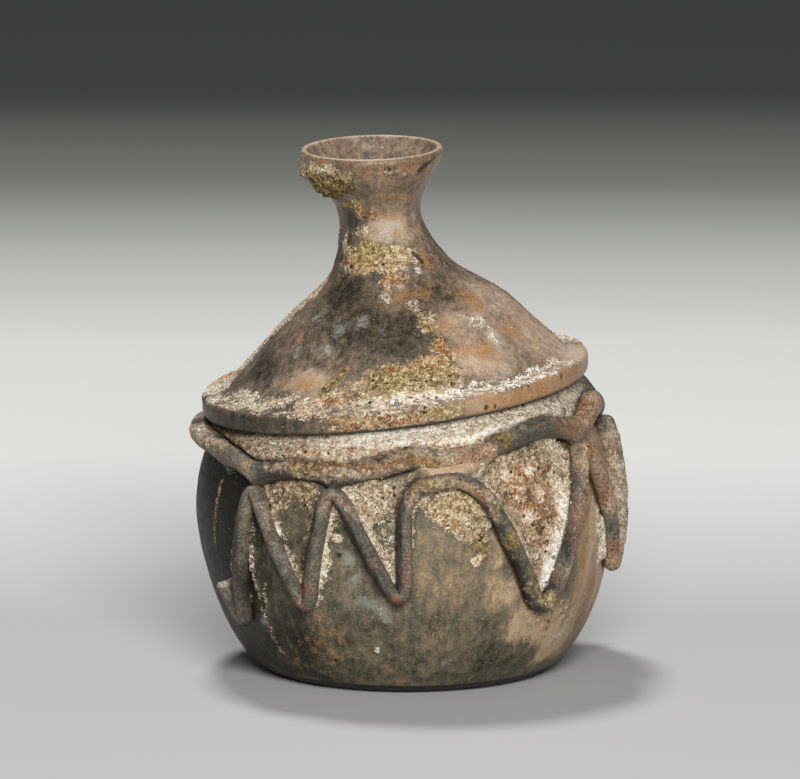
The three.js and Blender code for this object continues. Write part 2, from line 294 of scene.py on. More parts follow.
rim_radius = shoulder_radius - 0.2
mouth_radius = rim_radius - wall_thickness
lip = wall_thickness / 2
outside = even(np.vstack([
    bezier((0.4, base_hollow), (edge * 0.5, base_hollow), (edge - 5, 0.5), (edge, 0), 30),
    [(resting_radius, 0)], wall_curve[1:], [(rim_radius, rim_height - lip)],
]), outside_step)
inside = even(np.vstack([
    [(mouth_radius + 0.2, shoulder_height - 0.6)],
    bezier(
        (mouth_radius + 0.2, shoulder_height - 0.6), (mouth_radius + 2, shoulder_height - 6),
        (belly_radius - wall_thickness, belly_height + 8),
        (belly_radius - wall_thickness, belly_height), 20,
    )[1:],
    bezier(
        (belly_radius - wall_thickness, belly_height),
        (belly_radius - wall_thickness, belly_height - 15), (resting_radius + 7, floor_thickness),
        (resting_radius - 3, floor_thickness + 0.6), 20,
    )[1:],
    bezier(
        (resting_radius - 3, floor_thickness + 0.6), (resting_radius * 0.6, floor_thickness + 1.2),
        (resting_radius * 0.3, base_hollow + floor_thickness),
        (0.4, base_hollow + floor_thickness), 20,
    )[1:],
]), inside_step)
rim_arc = arc((rim_radius - lip, rim_height - lip), lip, 20, 180, 8)
jar_grid = ring_grid(np.vstack([outside, rim_arc, inside]), jar_columns)
is_outside = np.zeros(jar_grid.shape[:2])
is_outside[:len(outside) + 5] = 1

# Where the weathering lies, in patches of degrees round from the front, height, half width
# and half height. Those of a level, such as tone, shade and olive, have it as a fifth value.
# Behind, the weathering follows no photograph, and is laid at random.
everywhere = 1000
behind = (100, 262)
rng = np.random.default_rng(11)
jar_crust_patches = [
    (50, 11.6, 8, 4.4), (0, 50, everywhere, 3.6), (0, 47, 34, 3.4), (46, 47.5, 10, 3), (-33, 40, 6.6, 4),
    (-32, 34, 5, 7), (-31, 27, 3, 5.4), (-30, 22.6, 1.2, 3), (-20.6, 35.6, 0.9, 3),
    (-22.6, 30.4, 0.9, 4.6), (-24.6, 24.4, 0.8, 4.2), (-26, 19.6, 0.6, 2), (-9, 39, 8, 5),
    (-5.4, 33.4, 5, 5.4), (-2.8, 27.4, 2.2, 4.4), (11, 38.6, 5.6, 3), (14, 36, 5, 2.6),
    (20, 34.6, 3.6, 3.6), (22, 30.4, 2, 3.6), (20, 26.6, 1.8, 1.6), (32, 42, 8, 3), (40, 40, 13, 6),
    (43, 33, 8.4, 8), (42.6, 24.6, 4, 5.4), (51, 35, 2, 7), (48, 8.4, 3, 1.3), (41.6, 10.4, 1, 0.8),
    (30, 20.6, 1.2, 0.9), (71, 26, 2, 6), (-57.4, 24.6, 1.2, 1.8), (-61, 43.6, 4, 1), (-45, 46, 10, 3),
    (-60, 49, 8, 3),
    *scattered(rng, 26, behind, (26, 46), (3, 9)),
    *scattered(rng, 16, behind, (6, 26), (1.4, 4)),
]
# Where the crust is thin and the glass shows between its flakes, by a fifth value from 0 up
jar_thin_patches = [
    (37, 35, 7, 7, 0.7), (39, 28, 3, 3, 0.6), (-9, 38, 7, 5, 0.1), (44, 24, 4, 7, 0),
    (84, 34, 8, 14, 0.5), (70, 48, 6, 4, 0.6), (-31.6, 32, 6, 9, 1.25), (-4, 33, 5, 6, 0.9),
    (8, 39.4, 4, 2, 1.1), (50, 12, 12, 7, 1),
]
jar_bare_patches = [(4.6, 30, 2, 4), (36, 45.4, 5, 1.2), (-17, 28, 4, 3), (-42, 37, 2.4, 3)]
jar_tone_patches = [
    (-60, 48, 20, 6, -0.5), (-34, 49, 16, 5, 0.2), (-4, 50, 14, 4, 1), (18, 50, 16, 5, 1.05),
    (50, 50, 24, 6, 0.6), (0, 46, 30, 2, 0.3), (-33, 36, 9, 10, -0.55), (-31, 26, 5, 6, -0.5),
    (-35, 29, 1.6, 8, 0.5), (-22.8, 29, 2, 11, 0.75), (-9, 38, 9, 5, 0), (-4, 30, 5, 6, 0.05),
    (14, 36, 9, 4, 0.2), (21, 30, 3, 5, 0), (38, 38, 13, 9, -0.1), (50.6, 34, 2.2, 7, 1.1),
    (43.4, 23, 3, 5, 2), (46.4, 28, 2.6, 4, 1.2), (33, 38, 4, 3, 0.35), (56, 45, 5, 3, 0.6),
    (71, 26, 3, 6, 0.9), (48, 8.4, 5, 3, 0.3), (34, 41, 2, 1.4, 1), (38.4, 36.4, 1.4, 1.4, -0.8),
    (41, 41.4, 2, 1.2, 1.3), (36.8, 33, 1.6, 1.2, 1.1), (43.4, 37, 1.3, 1.5, 1),
    (40, 31.6, 1.2, 1.1, -0.8), (44, 31, 1.4, 1.8, 1.2), (46.6, 41, 1.2, 1.6, -0.7),
    (32, 37, 1.3, 1.5, -0.6), (42, 27, 1.6, 1.4, 1.1), (36, 48.2, 14, 0.9, 1.7), (-57.4, 24.6, 2, 2, 0.9),
    (86, 36, 8, 14, 0.1),
    *scattered(rng, 14, behind, (8, 50), (5, 12), (-0.1, 0.9)),
]
jar_shade_patches = [
    (-74, 30, 20, 34, -0.5), (-98, 18, 10, 12, -0.1), (-103, 38, 9, 8, 0.05), (-56, 36, 8, 9, -0.3),
    (-47, 26, 5, 13, 0.16), (-42, 12, 12, 10, 0.14), (-31, 33, 7, 8, 0.36), (-19, 27, 5, 6, 0.48),
    (-13, 22, 8, 6, 0.46), (-6, 12, 18, 9, 0.47), (10, 31, 5, 5, 0.62), (10, 25, 10, 9, 0.68),
    (12, 12, 14, 8, 0.45), (30, 7, 8, 5, 0.36), (25, 25, 2.4, 6, 0.85), (30, 20, 4, 4, 0.9),
    (36, 14, 5, 4, 0.92), (46, 13, 7, 5, 1.08), (56, 8, 6, 5, 1.25), (62, 24, 6, 22, 0.88),
    (76, 26, 8, 24, 1.05), (38, 34, 12, 10, 0.9), (14, 43.2, 9, 2.4, 1.1), (86, 36, 8, 14, 1.05),
    (46, 3.2, 9, 1.8, 0.5), (4, 2.2, 12, 1.6, 0.56), (-36, 2.6, 9, 2, 0.14), (-62, 50, 14, 2, 0.5),
    *scattered(rng, 16, (105, 258), (6, 44), (7, 16), (0.05, 0.8)),
]
jar_rust_patches = [
    (-24.6, 15.4, 2, 1.6), (-27, 12.6, 2.6, 1.4), (-22, 10.6, 1.8, 2.6), (-31, 9, 4, 1.2),
    (-24.4, 7, 3.2, 1.2), (-38, 6, 3, 1), (-9.4, 9.6, 1.2, 0.8), (-7, 4.6, 1.6, 0.8),
    (10.6, 17, 0.8, 2.2), (12.6, 20.8, 0.9, 1.4), (13.8, 23.6, 0.5, 2), (8, 13, 0.8, 3),
    (2, 3.4, 1.8, 0.6), (33, 9, 0.8, 0.6), (56, 34, 1.6, 9), (60, 24, 3, 10), (68, 16, 3, 7),
    (64, 38, 2, 4), (38, 37, 5, 4), (30, 41.6, 3, 2), (40, 29, 3, 3), (14, 43.4, 6, 1.4), (84, 36, 4, 8),
    *scattered(rng, 24, behind, (4, 46), (1.2, 5)),
]
jar_pale_patches = [
    (-46.6, 13.4, 1.4, 3.4), (-17, 29, 2.4, 3), (-15, 24.4, 2, 3), (-9, 18, 4, 3), (22, 37, 3, 2),
    (71, 26, 2, 6),
    *scattered(rng, 8, behind, (10, 44), (2, 5)),
]
jar_olive_patches = [
    (-66, 46, 8, 5, 0.7), (-72, 30, 14, 16, 0.5), (64, 42.4, 3, 2.4, 1), (-33, 38, 8, 5, 0.1),
    (-23, 28, 3, 12, 0.5), (14, 37, 8, 4, 0.45), (21, 28, 3, 6, 0.7), (10, 44, 6, 2, 0.8),
    (44, 9, 6, 3, 0.5),
    *scattered(rng, 8, behind, (10, 48), (3, 8), (0.3, 1)),
]
# Orange and red-brown stains in the crust, by degrees, height and half sizes
jar_stain_patches = [
    (40.6, 34.6, 1.2, 1), (42, 31.6, 1, 0.8), (45.4, 33, 1, 1.2), (39.6, 28.6, 1, 0.9), (37, 39, 2, 1),
    (44, 12, 4, 2), (34, 33, 1, 0.8), (46, 38.6, 1, 1.4), (6, 46.6, 5, 0.5), (-24, 48, 2, 0.5),
    (22, 25.6, 1.6, 1.4), (48, 8, 3, 1),
    *scattered(rng, 16, behind, (8, 50), (1.5, 5)),
]
# Where the whole crust turns tan, by a fifth value from -2, hardly, to 0
jar_tan_patches = [
    (39, 37, 12, 10, -0.05), (13, 37, 8, 4, -0.9), (-9, 38, 8, 6, -1.7), (-32, 34, 7, 9, -1.5),
    (34, 48, 22, 3, -0.8),
]
# Round spots that the crust fell away from or stayed on: degrees, height, radius
jar_pits = [
    (-18.4, 28.4, 0.5), (-30.6, 30.4, 0.3), (45.4, 35.2, 0.35), (45.8, 31.4, 0.4), (41.4, 32, 0.35),
    (45, 25.4, 0.45), (36.8, 27, 0.3), (43.8, 41, 0.5), (31, 23.4, 0.35), (56, 20.6, 0.3),
    (-24.4, 6.6, 0.4), (38.4, 16.2, 0.4),
]
jar_knobs = [
    (-18.4, 31.6, 0.85), (44, 22.2, 1.3), (43.2, 24.6, 1.1), (43.4, 19.8, 0.8), (-9.4, 9.6, 0.5),
    (20, 26.6, 0.9), (6, 46, 0.8), (-6.6, 46.4, 0.6), (24, 33, 0.6),
]
# Pale scratches down the left of the front, each a line of degrees and height
scratch_width = 0.44
jar_scratches = [
    [(-46.4, 34), (-47.6, 27), (-47.6, 20), (-47, 14), (-46.6, 9.6), (-45.6, 7.4)],
    [(-51.4, 31), (-51.6, 24), (-52, 17)], [(-44, 21), (-45.5, 16.6)],
    [(-63, 40), (-64.5, 33), (-66, 27)], [(-5.6, 21.4), (-7.4, 17)],
]

# Where the two trails run, which the dirt on the wall follows. The collar's course is
# degrees round from the front, how far its middle is above its level, and how tall it is.
collar_height = 47.3
collar_course = np.array([
    (-138, -2.4, 4.2), (-120, 0.3, 4.4), (-95, 0.7, 5), (-70, 0.1, 5.2), (-56, -1.7, 5), (-44, -3.7, 4.6),
    (-32, -2.7, 4.2), (-26, -2.8, 4.2), (-17, -3.5, 4.2), (-6, -2.2, 4.3), (4, -1.2, 4.2), (14, -2.1, 3.9),
    (24, -2.3, 3.9), (31, -0.6, 3.7), (46, 0.4, 3.5), (64, -1.7, 3.8), (80, 0.2, 4.2), (99, -1.6, 4.2),
    (119, 0.6, 4.4), (139, -2.6, 4.2), (160, 0.4, 4.4), (179, -2.2, 4.2), (200, 0.5, 4.4), (220, -1.4, 4.2),
    (222, -2.4, 4.2),
])
trail_width, trail_depth = 3.1, 3.1
# How wide, in degrees, a bit of the collar is that is drawn down to a bend
pinch_width = 2.4
meets_collar = None
# Degrees round from the front, height, and how far back from its corner a bend begins
zigzag_bends = [
    (-60.4, 20.3, 0), (-55.3, 13.7, 3), (-44, meets_collar, 4), (-28.8, 18.9, 3.5),
    (-18.8, meets_collar, 5), (-2, 21.1, 5), (2.8, 39.3, 4), (12.3, meets_collar, 5), (20.5, 40, 4),
    (41.2, 17.5, 5), (62.2, meets_collar, 6), (80, 20.4, 4.5), (99, meets_collar, 6), (120, 18, 4.5),
    (139, meets_collar, 6), (160, 19.4, 4.5), (179, meets_collar, 6), (201, 17.4, 4.5),
    (219, meets_collar, 6), (235, 24, 0),
]
mm_per_degree = math.radians(belly_radius)


def collar_at(degrees):
    """Height of the collar's middle, and how tall it is there."""
    first = collar_course[0, 0]
    at = (degrees - first) % 360 + first
    j = np.clip(np.searchsorted(collar_course[:, 0], at, side="right"), 1, len(collar_course) - 1)
    low, high = collar_course[j - 1], collar_course[j]
    t = smoothstep(0, 1, (at - low[..., 0]) / (high[..., 0] - low[..., 0]))[..., None]
    mixed = low + (high - low) * t
    return collar_height + mixed[..., 1], mixed[..., 2]


def zigzag_line():
    """The zigzag's middle line, unrolled at the belly, with each corner rounded."""
    bends = []
    for a, z, _ in zigzag_bends:
        level, tall = collar_at(np.array(float(a)))
        upper = float(level - tall / 2) - trail_width / 2
        bends.append(np.array((a * mm_per_degree, upper if z is meets_collar else z)))
    line = [bends[0]]
    for before, at, after, (_, _, soft) in zip(bends, bends[1:], bends[2:], zigzag_bends[1:]):
        back = (before - at) / np.linalg.norm(before - at) * soft
        ahead = (after - at) / np.linalg.norm(after - at) * soft
        corner = at - (back + ahead) / 4
        for t in np.linspace(0, 1, 12):
            line.append((corner + back) * (1 - t) ** 2 + 2 * corner * t * (1 - t) + (corner + ahead) * t * t)
    return even(np.array([*line, bends[-1]]), 0.4)


def drawn_down(degrees):
    """1 where the collar is drawn down to an upper bend of the zigzag, and 0 between them."""
    total = 0
    for bend, height, _ in zigzag_bends:
        if height is meets_collar:
            total = total + np.exp(-(((degrees - bend + 180) % 360 - 180) / pinch_width) ** 2)
    return np.minimum(total, 1)


def unrolled(degrees, height):
    """Mm round the belly from the front, and height."""
    return np.stack([np.radians(degrees) * belly_radius, height + 0 * degrees], -1)


def distance_to(line, points):
    """From each unrolled point to the nearest of a line's points, and how far right of it."""
    nearest = np.full(points.shape[:-1], 1e3)
    to_right = np.zeros(points.shape[:-1])
    for middle in line:
        away = np.hypot(points[..., 0] - middle[0], points[..., 1] - middle[1])
        to_right = np.where(away < nearest, points[..., 0] - middle[0], to_right)
        nearest = np.minimum(nearest, away)
    return nearest, to_right


def spotted(place, spots):
    """Depth in mm in the nearest of some round spots."""
    return depth_in(place, [(degrees, height, size, size) for degrees, height, size in spots])


def pitted(place, pits, gritty):
    """How deep a point lies in a pit, with a torn edge."""
    return np.maximum(2 * spotted(place, pits) + 0.15 * gritty, -1)


def closed(crust):
    """0 on bare glass and 1 where the crust has closed over it."""
    return smoothstep(-0.25, 0.6, crust)


torn = straying(jar_grid, 1)
exact = around_axis(jar_grid)
lumps = cloud(jar_grid, 9, 1)
ragged = cloud(jar_grid, 2.6, 2)
gritty = cloud(jar_grid, 1.3, 3, 2)
jar_crust = depth_in(torn, jar_crust_patches) - 2 * np.maximum(depth_in(torn, jar_bare_patches), 0)
jar_crust = jar_crust + 0.9 * ragged + 0.6 * lumps + 0.5 * gritty
thin = level_over(torn, 0, jar_thin_patches)
jar_crust = jar_crust + thin * (np.minimum(jar_crust, 0.9 * ragged + 0.8 * gritty - 0.25) - jar_crust)
jar_flat = unrolled(*exact[:2])
for scratch in jar_scratches:
    line = even(unrolled(*np.array(scratch, float).T), 0.4)
    near = scratch_width / 2 - distance_to(line, jar_flat)[0] + 0.15 * gritty + 0.2 * ragged
    jar_crust = np.maximum(jar_crust, near)

zigzag_middle = zigzag_line()
round_from_stub = (exact[0] - zigzag_bends[0][0] + 30) % 360 + zigzag_bends[0][0] - 30
from_zigzag, right_of_it = distance_to(zigzag_middle[::2], unrolled(round_from_stub, exact[1]))
from_zigzag = from_zigzag - trail_width / 2
# Between the collar and the top of the third loop, glass drawn down in a broad smooth web
web_patch = (15, 43.2, 7.6, 3.2)
web = smoothstep(1.1, 0.55, reach_of(exact, web_patch))
level, tall = collar_at(exact[0])
below_collar = level - tall / 2 - exact[1]
above_collar = exact[1] - level - tall / 2
# Painted shade in the creases beside the zigzag, deeper along each limb's left side, and under the collar,
# with some dark dirt there too; none under the web
shaded_side = 0.3 + 0.7 * smoothstep(0.6, -0.6, right_of_it)
shade_by_zigzag = smoothstep(0.75, 0.05, from_zigzag) * shaded_side
shade_under_collar = smoothstep(1, 0.1, below_collar) * (below_collar > -2.5)
jar_crease = np.maximum(shade_by_zigzag, shade_under_collar) * (1 - web)
# Sandy dirt silted up against the right side of each limb and over the collar's back
silt = 0.9 * smoothstep(1.3, 0.2, from_zigzag) * smoothstep(-0.3, 0.8, right_of_it)
silt = silt * smoothstep(-52, -40, exact[0]) * smoothstep(72, 56, exact[0]) * smoothstep(14, 20, exact[1])
jar_crust = np.minimum(jar_crust + silt, 4 - 4.4 * web)
jar_crust = np.maximum(jar_crust, 3 * spotted(exact, jar_knobs) + 0.3)
jar_pit = pitted(exact, jar_pits, gritty)
inner_crust = 1.6 * ragged + 1.1 * lumps - 0.8 + 3 * smoothstep(12, 4, jar_grid[..., 2])
jar_crust = np.where(is_outside > 0, jar_crust, inner_crust)
jar_tone = level_over(torn, 0.1, jar_tone_patches) + 0.25 * lumps + 0.4 * silt
jar_tone = np.where(spotted(exact, jar_knobs) > -0.2, np.maximum(jar_tone, 0.8), jar_tone)
jar_shade = level_over(torn, 0.42, jar_shade_patches) + 0.06 * lumps
# Painted contact shadow: a black line runs round the foot, where the belly comes down to the table
foot_line_top, foot_line_full = 1.8, 1
foot_contact_shadow = smoothstep(foot_line_top, foot_line_full, jar_grid[..., 2]) * is_outside
jar_shade = jar_shade - 2 * foot_contact_shadow
jar_rust = depth_in(torn, jar_rust_patches) + 1.2 * cloud(jar_grid, 1.6, 4) - 0.5
jar_stain = np.maximum(depth_in(torn, jar_stain_patches), level_over(torn, -3, jar_tan_patches))
jar_stain = jar_stain + 0.6 * cloud(jar_grid, 2.4, 6)
jar_pale = depth_in(torn, jar_pale_patches) + 1.5 * cloud(jar_grid, 3, 5) - 0.45
jar_olive = level_over(torn, 0, jar_olive_patches)
crusted = closed(jar_crust)
# The crust is banked up against the trails, and thick from the collar to the rim
banked = 0.8 * smoothstep(2.4, 0.1, np.minimum(from_zigzag, np.abs(below_collar)))
heaped = heap_thickness * smoothstep(66, 50, np.abs(exact[0])) * smoothstep(3.4, 0.6, above_collar)
heaped = heap_thickness + heaped
banked = np.maximum(banked, heaped * smoothstep(-1.5, 0, above_collar) * smoothstep(51, 49.4, exact[1]))
jar_relief = web_thickness * web + (
    0.1 * lumps * smoothstep(2, 12, jar_grid[..., 2])
    + crusted * (crust_thickness + 0.09 * ragged + 0.12 * gritty + banked)
    + 0.02 * gritty - pit_depth * smoothstep(-0.1, 0.35, jar_pit)
)
stands_on = smoothstep(0, 1.5, jar_grid[..., 2])
jar_shape = jar_grid + outward(jar_grid) * (jar_relief * is_outside * stands_on)[..., None]
jar = skin("jar_body_glass", lean(jar_shape, jar_lean))
paint(
    jar, crust=jar_crust, tone=jar_tone, shade=jar_shade, rust=jar_rust, stain=jar_stain, pale=jar_pale,
    olive=jar_olive, pit=jar_pit, crease=np.maximum(jar_crease * is_outside, foot_contact_shadow),
)


def srgb(*levels):
    """A colour for Blender from three levels of 0 to 255."""
    linear = [(v / 255 / 12.92) if v <= 10 else ((v / 255 + 0.055) / 1.055) ** 2.4 for v in levels]
    return (*linear, 1)


def node(tree, kind, inputs=None, **settings):
    """A new node; inputs are linked where they are sockets, and set where they are values."""
    made = tree.nodes.new(kind)
    for name, value in settings.items():
        setattr(made, name, value)
    for name, value in (inputs or {}).items():
        if isinstance(value, bpy.types.NodeSocket):
            tree.links.new(value, made.inputs[name])
        else:
            made.inputs[name].default_value = value
    return made


def math_of(tree, operation, *values):
    return node(tree, "ShaderNodeMath", dict(enumerate(values)), operation=operation).outputs[0]


def grain(tree, place, per_mm, detail=3, rough=0.6):
    """Noise whose lumps are 1 / per_mm mm across, as a factor from 0 to 1."""
    settings = {"Vector": place, "Scale": per_mm / MM, "Detail": detail, "Roughness": rough}
    return node(tree, "ShaderNodeTexNoise", settings).outputs["Fac"]


def cells(tree, place, per_mm):
    """Cells like grains of sand: two values of 0 to 1 for each, and the way to its middle."""
    made = node(tree, "ShaderNodeTexVoronoi", {"Vector": place, "Scale": per_mm / MM})
    values = node(tree, "ShaderNodeSeparateColor", {0: made.outputs["Color"]}).outputs
    return values[0], values[1], made.outputs["Distance"]


def ramp(tree, factor, *stops):
    """A colour for a factor, from stops of a place from 0 to 1 and a colour."""
    made = node(tree, "ShaderNodeValToRGB", {"Fac": factor})
    elements = made.color_ramp.elements
    while len(elements) < len(stops):
        elements.new(0.5)
    for element, (place, colour) in zip(elements, stops):
        element.position = place
        element.color = srgb(*colour)
    return made.outputs["Color"]


# A Mix node's sockets are set by their places: 0 is its factor, 2 and 3 its numbers, and 6
# and 7 its colours.
def blended(tree, factor, below, above):
    return node(tree, "ShaderNodeMix", {0: factor, 6: below, 7: above}, data_type="RGBA").outputs[2]


def stepped(tree, value, low, high, top=1.0):
    """A smooth step from 0 at the low value to the top at the high one."""
    settings = {"Value": value, "From Min": low, "From Max": high, "To Max": top}
    return node(tree, "ShaderNodeMapRange", settings, interpolation_type="SMOOTHSTEP").outputs["Result"]


def layer(tree, name):
    """What paint() stored on the mesh."""
    return node(tree, "ShaderNodeAttribute", attribute_name=name).outputs["Fac"]


def shaken(tree, level, *textures):
    """A level with each texture of 0 to 1 laid over it, half its amount either way."""
    total = math_of(tree, "SUBTRACT", level, sum(amount for _, amount in textures) / 2)
    for texture, amount in textures:
        total = math_of(tree, "MULTIPLY_ADD", texture, amount, total)
    return total


def tinted(tree, colour, tint):
    inputs = {0: 1.0, 6: colour, 7: tint}
    return node(tree, "ShaderNodeMix", inputs, data_type="RGBA", blend_type="MULTIPLY").outputs[2]


def sandy(tree, level, olive, warm):
    """The crust's colour: from the dark gaps between its grains up to chalky white."""
    plain = ramp(
        tree, level, (0.04, (50, 40, 30)), (0.2, (96, 80, 60)), (0.36, (136, 117, 92)),
        (0.52, (170, 152, 125)), (0.68, (201, 188, 165)), (0.84, (228, 220, 204)), (1, (246, 243, 237)),
    )
    green = ramp(
        tree, level, (0.04, (40, 35, 20)), (0.22, (84, 72, 42)), (0.4, (128, 109, 62)),
        (0.58, (170, 149, 94)), (0.76, (206, 189, 142)), (0.95, (234, 224, 196)),
    )
    orange = ramp(
        tree, level, (0.1, (70, 38, 20)), (0.4, (140, 88, 48)), (0.62, (182, 128, 80)),
        (0.85, (220, 184, 138)),
    )
    return blended(tree, warm, blended(tree, olive, plain, green), orange)


def new_material(name):
    """A material, its node tree and its shader."""
    material = bpy.data.materials.new(name)
    material.use_nodes = True
    return material, material.node_tree, material.node_tree.nodes["Principled BSDF"]


def weathered_glass(name, bare, rust, pale, thread=False, rough=0.5, gleam=0.22):
    """Opaque weathered glass under crust, laid where the layers painted on the mesh say.

    Bare holds the glass's own colours at even steps of shade, from the darkest up.
    """
    material, tree, shader = new_material(name)
    place = node(tree, "ShaderNodeTexCoord").outputs["Object"]
    broad, middling = grain(tree, place, 0.16, 4), grain(tree, place, 0.62, 4)
    fine, mottle = grain(tree, place, 2.3, 3, 0.7), grain(tree, place, 1.2, 4, 0.75)
    if thread:
        drawn = node(tree, "ShaderNodeCombineXYZ", {"X": layer(tree, "along"), "Y": layer(tree, "across")})
    else:
        drawn = node(tree, "ShaderNodeVectorMath", {0: place, 1: (1, 1, 0.14)}, operation="MULTIPLY")
    streak = grain(tree, drawn.outputs[0], 0.8, 3)

    shade = shaken(tree, layer(tree, "shade"), (broad, 0.5), (middling, 0.7), (streak, 0.6), (fine, 0.9))
    hue = ramp(tree, mottle, (0.36, (248, 231, 212)), (0.5, (240, 235, 226)), (0.64, (226, 235, 230)))
    stops = [(step / (len(bare) - 1), colour) for step, colour in enumerate(bare)]
    colour = tinted(tree, ramp(tree, shade, *stops), hue)
    palely = stepped(tree, shaken(tree, layer(tree, "pale"), (mottle, 4), (fine, 3)), -0.6, 2, 0.8)
    colour = blended(tree, palely, colour, srgb(*pale))
    rusty = shaken(tree, layer(tree, "rust"), (middling, 3), (fine, 3.4), (streak, 1.6))
    rusty = stepped(tree, rusty, -0.9, 2, 0.8)
    colour = blended(tree, rusty, colour, ramp(tree, fine, (0.34, [v * 0.66 for v in rust]), (0.6, rust)))

    jitter = node(tree, "ShaderNodeTexNoise", {"Vector": place, "Scale": 1.1 / MM, "Detail": 2})
    push = {0: jitter.outputs["Color"], 1: (0.7 * MM,) * 3, 2: place}
    shifted = node(tree, "ShaderNodeVectorMath", push, operation="MULTIPLY_ADD").outputs[0]
    speck_value, _, speck_way = cells(tree, shifted, 0.7)
    speckled = stepped(tree, speck_value, 0.7, 0.8, 0.7)
    speck = math_of(tree, "MULTIPLY", stepped(tree, speck_way, 0.13, 0.06), speckled)
    colour = blended(tree, speck, colour, srgb(178, 168, 148))

    large_value, large_hue, large_way = cells(tree, shifted, 1.6)
    small_value, small_hue, small_way = cells(tree, shifted, 3.8)
    sand = math_of(tree, "MULTIPLY_ADD", layer(tree, "tone"), 0.3, 0.5)
    sand = shaken(tree, sand, (large_value, 0.34), (small_value, 0.36), (middling, 0.5), (fine, 0.4))
    gap = math_of(tree, "MULTIPLY", stepped(tree, small_way, 0.45, 0.8), 0.12)
    warm = shaken(tree, layer(tree, "stain"), (large_hue, 2.4), (middling, 3), (small_hue, 1.6))
    warm = stepped(tree, warm, -0.6, 0.9, 0.85)
    warm = math_of(tree, "MAXIMUM", warm, stepped(tree, small_hue, 0.76, 0.9, 0.5))
    crust_colour = sandy(tree, math_of(tree, "SUBTRACT", sand, gap), layer(tree, "olive"), warm)
    crust = shaken(tree, layer(tree, "crust"), (fine, 2.2), (middling, 1.8), (small_value, 0.9))
    crust = stepped(tree, crust, -0.15, 0.3)
    colour = blended(tree, crust, colour, crust_colour)

    hole_value, _, hole_way = cells(tree, shifted, 0.5)
    hole = stepped(tree, shaken(tree, hole_way, (fine, 0.3)), 0.2, 0.1)
    hole = math_of(tree, "MULTIPLY", hole, stepped(tree, hole_value, 0.6, 0.66))
    pit = stepped(tree, shaken(tree, layer(tree, "pit"), (fine, 0.9), (small_value, 0.3)), -0.1, 0.25, 0.85)
    hollow = math_of(tree, "MAXIMUM", math_of(tree, "MULTIPLY", hole, crust), pit)
    # Painted shade and dark dirt in the creases, and the pits and holes in the crust, are all laid in one
    # dark colour
    crease = stepped(tree, shaken(tree, layer(tree, "crease"), (fine, 0.7), (middling, 0.5)), 0.3, 0.85, 0.8)
    colour = blended(tree, math_of(tree, "MAXIMUM", hollow, crease), colour, srgb(46, 38, 30))
    tree.links.new(colour, shader.inputs["Base Color"])

    smooth = math_of(tree, "MULTIPLY_ADD", middling, 0.4, rough - 0.2)
    sandiness = node(tree, "ShaderNodeMix", {0: crust, 2: smooth, 3: 0.93}, data_type="FLOAT").outputs[0]
    tree.links.new(sandiness, shader.inputs["Roughness"])
    shader.inputs["Specular IOR Level"].default_value = gleam
    lumpy = shaken(tree, 0.5, (large_value, 0.4), (small_value, 0.35), (fine, 0.5))
    lumpy = math_of(tree, "SUBTRACT", lumpy, math_of(tree, "MULTIPLY", large_way, 0.3))
    relief = math_of(tree, "MULTIPLY", crust, lumpy)
    relief = math_of(tree, "MULTIPLY_ADD", fine, 0.3, relief)
    relief = math_of(tree, "MULTIPLY_ADD", streak, 0.16, relief)
    relief = math_of(tree, "MULTIPLY_ADD", hollow, -0.7, relief)
    bump = node(tree, "ShaderNodeBump", {"Height": relief, "Distance": 0.32 * MM, "Strength": 0.9})
    tree.links.new(bump.outputs["Normal"], shader.inputs["Normal"])
    return material


jar_glass = weathered_glass(
    "jar_glass",
    [(34, 33, 24), (62, 60, 47), (93, 90, 77), (124, 114, 97), (157, 136, 112), (194, 170, 145)],
    rust=(168, 124, 84), pale=(144, 143, 130),
)
jar.data.materials.append(jar_glass)
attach(jar, "jar")
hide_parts("jar_body")

# Collar
# A thick thread of hot glass wound once round the shoulder, its thinned ends almost
# meeting at the back. It was pinched down wherever the zigzag comes up to meet it.
collar_radius, collar_least, collar_drop = 39.1, 3.4, 1.2
into_wall, room_for_relief = 0.2, 0.25
# Degrees between its two ends, and over which each is thinned, and what is left there
collar_open, end_span, end_share = 13, 9, 0.45
collar_steps, collar_sides = 620, 34
start = collar_course[0, 0]
collar_angle = np.linspace(start, start + 360 - collar_open, collar_steps + 1)[:, None]
from_end = np.minimum(collar_angle - start, start + 360 - collar_open - collar_angle)
collar_size = end_share + (1 - end_share) * smoothstep(0, end_span, from_end)
turn = np.linspace(0, 2 * math.pi, collar_sides, endpoint=False)[None, :]
middle, collar_tall = collar_at(collar_angle)
inside_radius = wall_radius(middle) - into_wall
outside_radius = np.maximum(collar_radius - room_for_relief, inside_radius + collar_least)
level = middle + collar_tall / 2 * collar_size * np.sin(turn)
drawn = drawn_down(collar_angle)
level = level - collar_drop * drawn * smoothstep(0.2, -0.9, np.sin(turn))
reach = (outside_radius - inside_radius) * collar_size * (0.5 + 0.5 * np.cos(turn))
collar_grid = at_wall(
    np.broadcast_to(collar_angle, level.shape),
    np.maximum(inside_radius + reach, wall_radius(level) - into_wall), level,
)
collar_behind = (98, 264)
collar_crust_patches = [
    (-80, 48.6, 11, 3.4), (-62, 48.6, 5, 1.2), (-29, 45.2, 6, 2.2), (-18, 44.8, 9, 2.6), (-8, 45.2, 8, 3),
    (5, 46.6, 6, 2.6), (13, 47.4, 6, 1), (30, 48.4, 5, 1.3), (31, 46.4, 2, 2.2), (45, 50, 10, 0.8),
    (60, 48.6, 6, 0.8), (70, 48, 5, 2.4),
    *scattered(rng, 24, collar_behind, (43, 50), (1.5, 8)),
]
